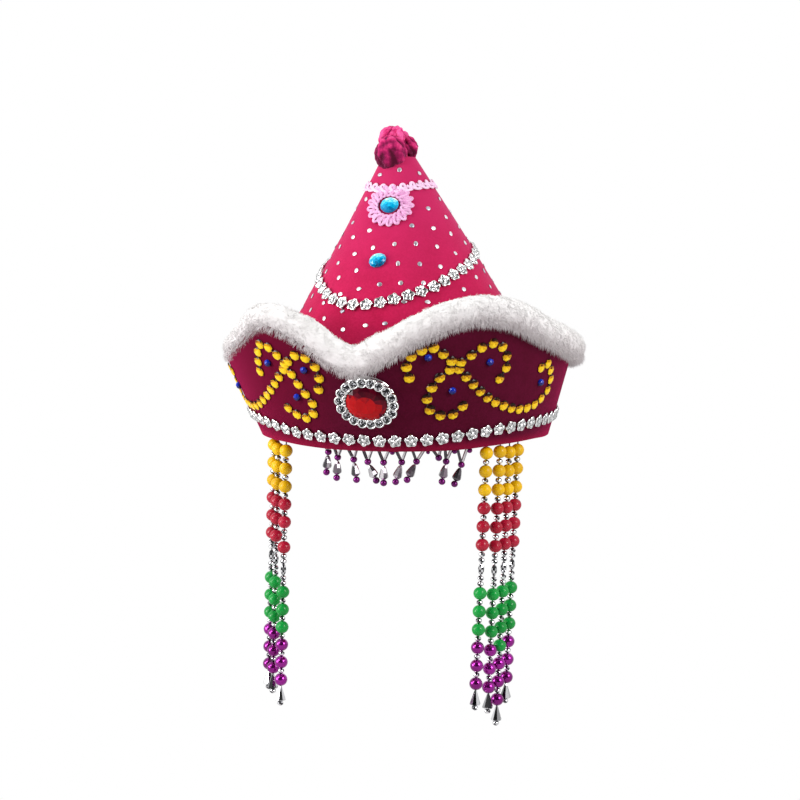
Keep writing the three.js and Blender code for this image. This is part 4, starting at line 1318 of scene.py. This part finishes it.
def makeScroll(name, rows):
    # stones at even lengths along a smooth line through the row's points, on a thread
    stones, threads = [], []
    stone = cutShape("scroll", 3).scaled(scroll["width"], scroll["width"], scroll["rise"])
    rng = np.random.default_rng(len(name))
    for row in rows:
        points = np.stack([np.radians(row["angle"]) * scroll["flatScale"], row["height"]], -1)
        flat = smoothLine(points, 40)
        angle, height = np.degrees(flat[:, 0] / scroll["flatScale"]), flat[:, 1]
        line = onCuff(angle, height, seam)
        share, _ = evenAlong(line)
        count = row["stones"]
        a, h = (np.interp(np.linspace(0, 1, count), share, values) for values in (angle, height))
        here, right, up, out = framesOn(onCuff, a, h, seam)
        right, up = turnedFrame(right, up, rng.normal(0, 0.16, (count, 1)))
        tilt = unit(out + 0.09 * rng.normal(size=(count, 3)))
        # on the stones that are seen from one side, the painted dark tops, a painted reflection, are gone
        pale = scroll["pale"]
        seenAside = np.clip((np.abs(a - pale["middle"]) - pale["from"]) / pale["over"], 0, 1)
        tones = pale["most"] * seenAside + rng.uniform(-0.12, 0.12, count)
        stones.append((copies(stone, here + out * 0.1, right, up, tilt, tones), finishes["gold"], "flat"))
        normals = framesOn(onCuff, angle, height, seam)[3]
        threads.append((feltThread(line, normals, 4, scroll["thread"], closed=False), finishes["thread"]))
    makePiece(f"{name}_stones", stones + threads, [name])


def makeScrollGems():
    for number, gem in enumerate(scrollGems):
        shape = cutShape("round", number).scaled(scrollGem["width"], scrollGem["width"], scrollGem["rise"])
        # painted highlight: these are brighter near the top
        shape.tone = 1.1 - shape.tone
        laid = laidAt(shape, onCuff, gem)
        makePiece(f"{gem['name']}_cut", [(laid, finishes["blue"], "flat")], [gem["name"]])


# Strings of beads

bigBead = {"radius": 4.2, "length": 8.148, "hole": 0.75, "sides": 28, "rows": 15}
smallBead = {"radius": 2.05, "length": 3.4, "hole": 0.5, "sides": 14, "rows": 8}
longBead = {"radius": 1.9, "length": 7.6, "hole": 0.5, "sides": 8, "rows": 7}
teardrop = {
    "radius": 3.5,
    "length": 9.6,
    "sides": 8,
    "reach": [0.2, 0.32, 0.52, 0.74, 0.94, 1.0, 0.96, 0.5],
    "height": [0.02, 0.12, 0.36, 0.6, 0.82, 0.9, 0.95, 1.0],
    "tones": [0.2, 0.3, 0.9, 0.6, 0.3, 0.95, 0.5, 0.7],
}
strand = {"hangRadius": 89.5, "leanHeading": -76.5, "above": 6, "colour": 3, "thread": 0.42}
strands = table(
    "name angle drop lean pitch link below slip",
    ("strand_right_1", 47.7, 4.5, 2.3, 11.6, 22.4, 6, 0.0),
    ("strand_right_2", 54.8, 4.9, 2.4, 12.0, 22.4, 6, 0.0),
    ("strand_right_3", 60.3, 6.2, 2.4, 11.7, 22.1, 7, 0.0),
    ("strand_right_4", 65.9, 5.8, 2.4, 11.7, 21.5, 6, 0.0),
    ("strand_left_3", -44.4, 6.3, 1.7, 11.5, 25.5, 6, 4.8),
    ("strand_left_2", -52.2, 6.5, 1.7, 11.3, 22.0, 6, 0.0),
    ("strand_left_1", -57.8, 4.6, 1.7, 11.5, 21.2, 6, 0.0),
)


def strandPlaces(row):
    # distances down the thread: two runs of large beads with a link of small ones and a long one
    # between, then the drop and a last small bead; the link's beads share the length that is over
    pitch, radius, slip = row["pitch"], bigBead["radius"], row["slip"]
    first = row["drop"] + pitch * np.arange(strand["above"])
    above = first[:-1] + pitch / 2
    second = first[-1] + row["link"] + 2 * radius + pitch * np.arange(row["below"])
    if slip:
        # the last bead above the link has slid down, and two small ones lie over it
        room = pitch + slip - 2 * radius
        above = np.append(above[:-1], first[-2] + radius + room * np.array([0.25, 0.75]))
        first[-1] += slip
    small, long = smallBead["length"], longBead["length"]
    lengths = np.array([small, small, long, small, small])
    lengths = lengths + (row["link"] - slip - lengths.sum()) / len(lengths)
    linked = first[-1] + radius + np.cumsum(lengths) - lengths / 2
    end = second[-1] + radius
    last = [end + teardrop["length"] + small / 2]
    spacers = np.concatenate([above, second[:-1] + pitch / 2, linked[[0, 1, 3, 4]], last])
    n = strand["colour"]
    places = {"yellow": first[:n], "red": first[n:], "green": second[:-n], "purple": second[-n:]}
    return places, spacers, linked[2], end


def roundBead(row):
    # an ellipse turned about the thread, with a hole down its middle
    radius, half, hole = row["radius"], row["length"] / 2, row["hole"]
    start = math.asin(hole / radius)
    t = np.linspace(start, np.pi - start, row["rows"])
    radii = np.append(radius * np.sin(t), [hole * 0.9, hole * 0.9])
    heights = np.append(-half * np.cos(t), [half * 0.8, -half * 0.8])
    return turned(radii, heights, row["sides"], closed=True)


def dropShape(row):
    # a drop's flat sides, narrow at the top and wide near its lower end
    radii = np.array(row["reach"]) * row["radius"]
    return turned(radii, np.array(row["height"]) * row["length"], row["sides"])


def hangingFrame(lean):
    # the way down a thread that leans aside, and two directions across it
    lean = math.radians(lean)
    down = polar(strand["leanHeading"], math.sin(lean), -math.cos(lean))
    right = unit(np.cross([0, 1.0, 0], down))
    return down, right, np.cross(down, right)


def makeStrand(row):
    down, right, up = hangingFrame(row["lean"])
    top = polar(row["angle"], strand["hangRadius"], rimLift(row["angle"]) - seam)
    rng = np.random.default_rng(int(abs(row["angle"]) * 10))
    big, small, long = (roundBead(kind) for kind in (bigBead, smallBead, longBead))
    drop = dropShape(teardrop)
    # painted reflections: dark bands go aslant round the small beads, and dark facets zigzag round the long
    # one
    face, sides = np.arange(len(small.tone)), smallBead["sides"]
    small.tone = 0.85 * ((face % sides + face // sides) % 7 < 3)
    face, sides = np.arange(len(long.tone)), longBead["sides"]
    long.tone = 0.25 + 0.65 * ((face // sides + face % 2) % 2)
    places, spacers, middle, end = strandPlaces(row)

    def hung(shape, distances):
        # each is turned at random about the thread
        distances = np.asarray(distances)[:, None]
        spin = rng.uniform(0, 2 * np.pi, (len(distances), 1))
        a = right * np.cos(spin) + up * np.sin(spin)
        return copies(shape, top + down * distances, a, np.cross(down, a), down)

    parts = [(hung(big, distances), finishes[colour]) for colour, distances in places.items()]
    parts.append((hung(small, spacers), finishes["chrome"]))
    parts.append((hung(long, [middle]), finishes["chrome"], "flat"))
    # painted reflections: the chrome drop's faces are dark and pale in turn
    drop.striped(rng.permutation(teardrop["tones"]))
    parts.append((hung(drop, [end]), finishes["chrome"], "flat"))
    line = top + down * np.linspace(0, spacers[-1], 40)[:, None]
    thread = swept(line, np.broadcast_to(up, line.shape), strand["thread"], 6, closed=False)
    parts.append((thread, finishes["thread"]))
    makePiece(f"{row['name']}_beads", parts, [row["name"]])


# Fringe inside the front of the rim

fringe = {"radius": 85.6, "top": 3.0, "gap": 1.1, "outward": 1.6, "bugle": 1.0, "thread": 0.3}
fringeCorner = {"turn": 0.7, "outward": 1.2, "height": -0.8}
fringeBead = {"radius": 2.2, "length": 4.18, "hole": 0.4, "sides": 14, "rows": 9}
fringeDrop = {
    "radius": 2.95,
    "length": 8.4,
    "sides": 7,
    "reach": [0.3, 0.56, 0.82, 1.0, 0.93, 0.45],
    "height": [0.02, 0.2, 0.5, 0.78, 0.88, 1.0],
    "tones": [0.0, 0.5, 0.25, 0.9, 0.1, 0.7, 0.35],
}
bugleTones = {-1: [0.0, 0.1, 0.25, 0.4, 0.1, 0.05], 1: [0.9, 1.0, 0.2, 0.7, 1.0, 0.3]}
fringeRows = table(
    "angle knot lean full corner",
    (-20.8, -2.7, 5.6, True, 0.0),
    (-16.1, -5.6, 3.2, True, 0.0),
    (-8.6, -6.2, -7.5, True, 0.0),
    (-2.4, -7.2, -24, True, 0.0),
    (4.3, -7.3, 0, True, 1.7),
    (11.8, -7, 17, True, 0.0),
    (17.9, -6.6, 27, True, 1.3),
    (27.2, -4.6, 0, False, 0.0),
    (30.4, -7.1, 11.4, True, 1.8),
    (37.2, -9.6, 19.3, True, 1.8),
)


def bugleTopAngle(index, side):
    # half way to the next drop on its side, less a small gap; an end drop mirrors its inner bugle
    angle = fringeRows[index]["angle"]
    other = index + side if 0 <= index + side < len(fringeRows) else index - side
    half = abs(fringeRows[other]["angle"] - angle) / 2
    return angle + side * (half - math.degrees(fringe["gap"] / fringe["radius"]))


def makeFringe(index, row):
    # two slanting bugles meet at a bead, which holds the drop and another bead; a corner is the
    # size of the bead where two pairs of bugles meet under the rim
    knotPoint = polar(row["angle"], fringe["radius"], row["knot"])
    down, right, up = hangingFrame(row["lean"])
    ball = fringeBead["radius"]
    bead = roundBead(fringeBead)
    beadAt = [0.0]
    parts = []
    if row["full"]:
        beadAt.append(fringeDrop["length"] + 2 * ball)
        # painted reflections: the drop's faces are dark and pale in turn
        drop = dropShape(fringeDrop).striped(np.random.default_rng(index).permutation(fringeDrop["tones"]))
        laid = copies(drop, knotPoint[None] + down * ball, right, up, down)
        parts.append((laid, finishes["clear"], "flat"))
    beads = copies(bead, knotPoint + down * np.array(beadAt)[:, None], right, up, down)
    parts.append((beads, finishes["plum"]))
    if row["corner"]:
        size = row["corner"] / ball
        angle = bugleTopAngle(index, 1) + fringeCorner["turn"]
        corner = polar(angle, fringe["radius"] + fringeCorner["outward"], fringeCorner["height"])
        parts.append((copies(bead, corner[None], right * size, up * size, down * size), finishes["plum"]))
    for side, tones in bugleTones.items():
        high = polar(bugleTopAngle(index, side), fringe["radius"] + fringe["outward"], fringe["top"])
        run = unit(knotPoint - high)
        line = high + (knotPoint - run * ball - high) * np.linspace(0, 1, 5)[:, None]
        away = np.broadcast_to(unit(np.cross(run, [0, 0, 1.0])), line.shape)
        tube = swept(line, away, fringe["bugle"], len(tones), closed=False).striped(tones)
        parts.append((tube, finishes["clear"], "flat"))
    line = knotPoint + down * np.linspace(0, beadAt[-1] + 0.5, 4)[:, None]
    thread = swept(line, np.broadcast_to(up, line.shape), fringe["thread"], 5, closed=False)
    parts.append((thread, finishes["thread"]))
    makePiece(f"fringe_{index + 1:02d}_beads", parts, [f"fringe_{index + 1:02d}"])


makeCrown()
makeDots()
makeCuff()
makeFurBacking()
makeFurHairs()
makeKnot()
makeBraidBand()
makeBraidRing()
makeConeGems()
flowerChain("swag_flowers", onCone, swagHeight, 9.0, "swag_chain")
flowerChain("rim_flowers", onCuff, rimHeight, 9.6, "rim_chain")
makeBrooch()
for scrollName, scrollParts in scrollRows.items():
    makeScroll(scrollName, scrollParts)
makeScrollGems()
for strandRow in strands:
    makeStrand(strandRow)
for fringeIndex, fringeRow in enumerate(fringeRows):
    makeFringe(fringeIndex, fringeRow)
print("pieces made")


# Floor, light and camera

studio = {
    "floorBelow": 30.0,
    "floorHalf": 60000.0,
    "floorBounce": 0.6,
    "azimuth": 13.5,
    "distance": 1200.0,
    "height": 155.0,
    "aimHeight": 22.0,
    "aside": 3.6,
    "lens": 82.3,
    "lampAimHeight": 60.0,
    "sky": {"level": 0.95, "strength": 0.95},
    "darkPatch": {"level": 0.05, "elevation": 30.0, "inner": 30.0, "outer": 50.0},
    "lamps": table(
        "name from size watts",
        ("key", (-900, -900, 900), 600, 7.6),
        ("side", (1100, -600, 600), 600, 11),
        ("low", (-1100, -600, 160), 500, 10),
    ),
}


def makeFloor():
    # the camera sees plain white; every other ray meets a pale grey that bounces less
    half = studio["floorHalf"] * mm
    low = cadBox[0][2] - studio["floorBelow"] * mm
    corners = [(-half, -half, low), (half, -half, low), (half, half, low), (-half, half, low)]
    mesh = bpy.data.meshes.new("floor")
    mesh.from_pydata(corners, [], [(0, 1, 2, 3)])
    floor = bpy.data.objects.new("floor", mesh)
    bpy.context.scene.collection.objects.link(floor)
    bounce = studio["floorBounce"]
    pale = Finish("floor_paint", Base_Color=(bounce, bounce, bounce), Roughness=1.0, Specular_IOR_Level=0.0)
    white = pale.node("ShaderNodeEmission", sockets={"Color": (1.0, 1.0, 1.0), "Strength": 1.0})
    seen = pale.node("ShaderNodeLightPath", output="Is Camera Ray")
    paint = Tone(pale, pale.shader.outputs[0])
    both = pale.node("ShaderNodeMixShader", sockets={0: seen, 1: paint, 2: white})
    pale.tree.links.new(both.socket, pale.tree.nodes["Material Output"].inputs[0])
    mesh.materials.append(pale.material)


def aimed(thing, place, aim):
    # put at a place and turned so that its own -Z runs to the aim
    thing.location = place * mm
    thing.rotation_euler = Vector((aim - place) * mm).to_track_quat("-Z", "Y").to_euler()
    bpy.context.scene.collection.objects.link(thing)


def makeLamp(row):
    light = bpy.data.lights.new(row["name"], "AREA")
    light.shape = "DISK"
    light.size = row["size"] * mm
    light.energy = row["watts"]
    lamp = bpy.data.objects.new(row["name"], light)
    aimed(lamp, np.array(row["from"], float), np.array([0, 0, studio["lampAimHeight"]]))


def makeWorld():
    # the camera sees plain white; the object is lit by an even sky with a dark patch above the
    # camera, which gives the metal and the stones their dark parts
    world = bpy.data.worlds.new("studio")
    bpy.context.scene.world = world
    world.use_nodes = True
    world.node_tree.nodes.clear()
    sky = Nodes(world.node_tree)
    heading = sky.node("ShaderNodeTexCoord", output="Generated")
    even, patch = studio["sky"], studio["darkPatch"]
    rise, turn = math.radians(patch["elevation"]), math.radians(studio["azimuth"])
    middle = (math.cos(rise) * math.sin(turn), -math.cos(rise) * math.cos(turn), math.sin(rise))
    settings = {"operation": "DOT_PRODUCT"}
    near = sky.node("ShaderNodeVectorMath", settings, {0: heading, 1: middle}, output="Value")
    edges = [math.cos(math.radians(patch[edge])) for edge in ("outer", "inner")]
    shade = sky.between(near, *edges)
    light = even["level"] * (1 - shade) + shade * patch["level"]
    lit = sky.node("ShaderNodeBackground", sockets={"Color": light, "Strength": even["strength"]})
    plain = sky.node("ShaderNodeBackground", sockets={"Color": (1.0, 1.0, 1.0), "Strength": 1.0})
    seen = sky.node("ShaderNodeLightPath", output="Is Camera Ray")
    both = sky.node("ShaderNodeMixShader", sockets={0: seen, 1: lit, 2: plain})
    out = world.node_tree.nodes.new("ShaderNodeOutputWorld")
    world.node_tree.links.new(both.socket, out.inputs[0])


def makeCamera():
    turn = math.radians(studio["azimuth"])
    aside = np.array([math.cos(turn), math.sin(turn), 0]) * studio["aside"]
    reach = studio["distance"]
    place = np.array([reach * math.sin(turn), -reach * math.cos(turn), studio["height"]]) - aside
    lens = bpy.data.cameras.new("camera")
    lens.lens = studio["lens"]
    lens.sensor_width = 36
    lens.clip_start = 0.05
    lens.clip_end = 200
    camera = bpy.data.objects.new("camera", lens)
    aimed(camera, place, np.array([0, 0, studio["aimHeight"]]) - aside)
    bpy.context.scene.camera = camera


makeFloor()
for lampRow in studio["lamps"]:
    makeLamp(lampRow)
makeWorld()
makeCamera()
bpy.context.scene.view_settings.view_transform = "Standard"
bpy.context.scene.view_settings.look = "None"
print("studio made")
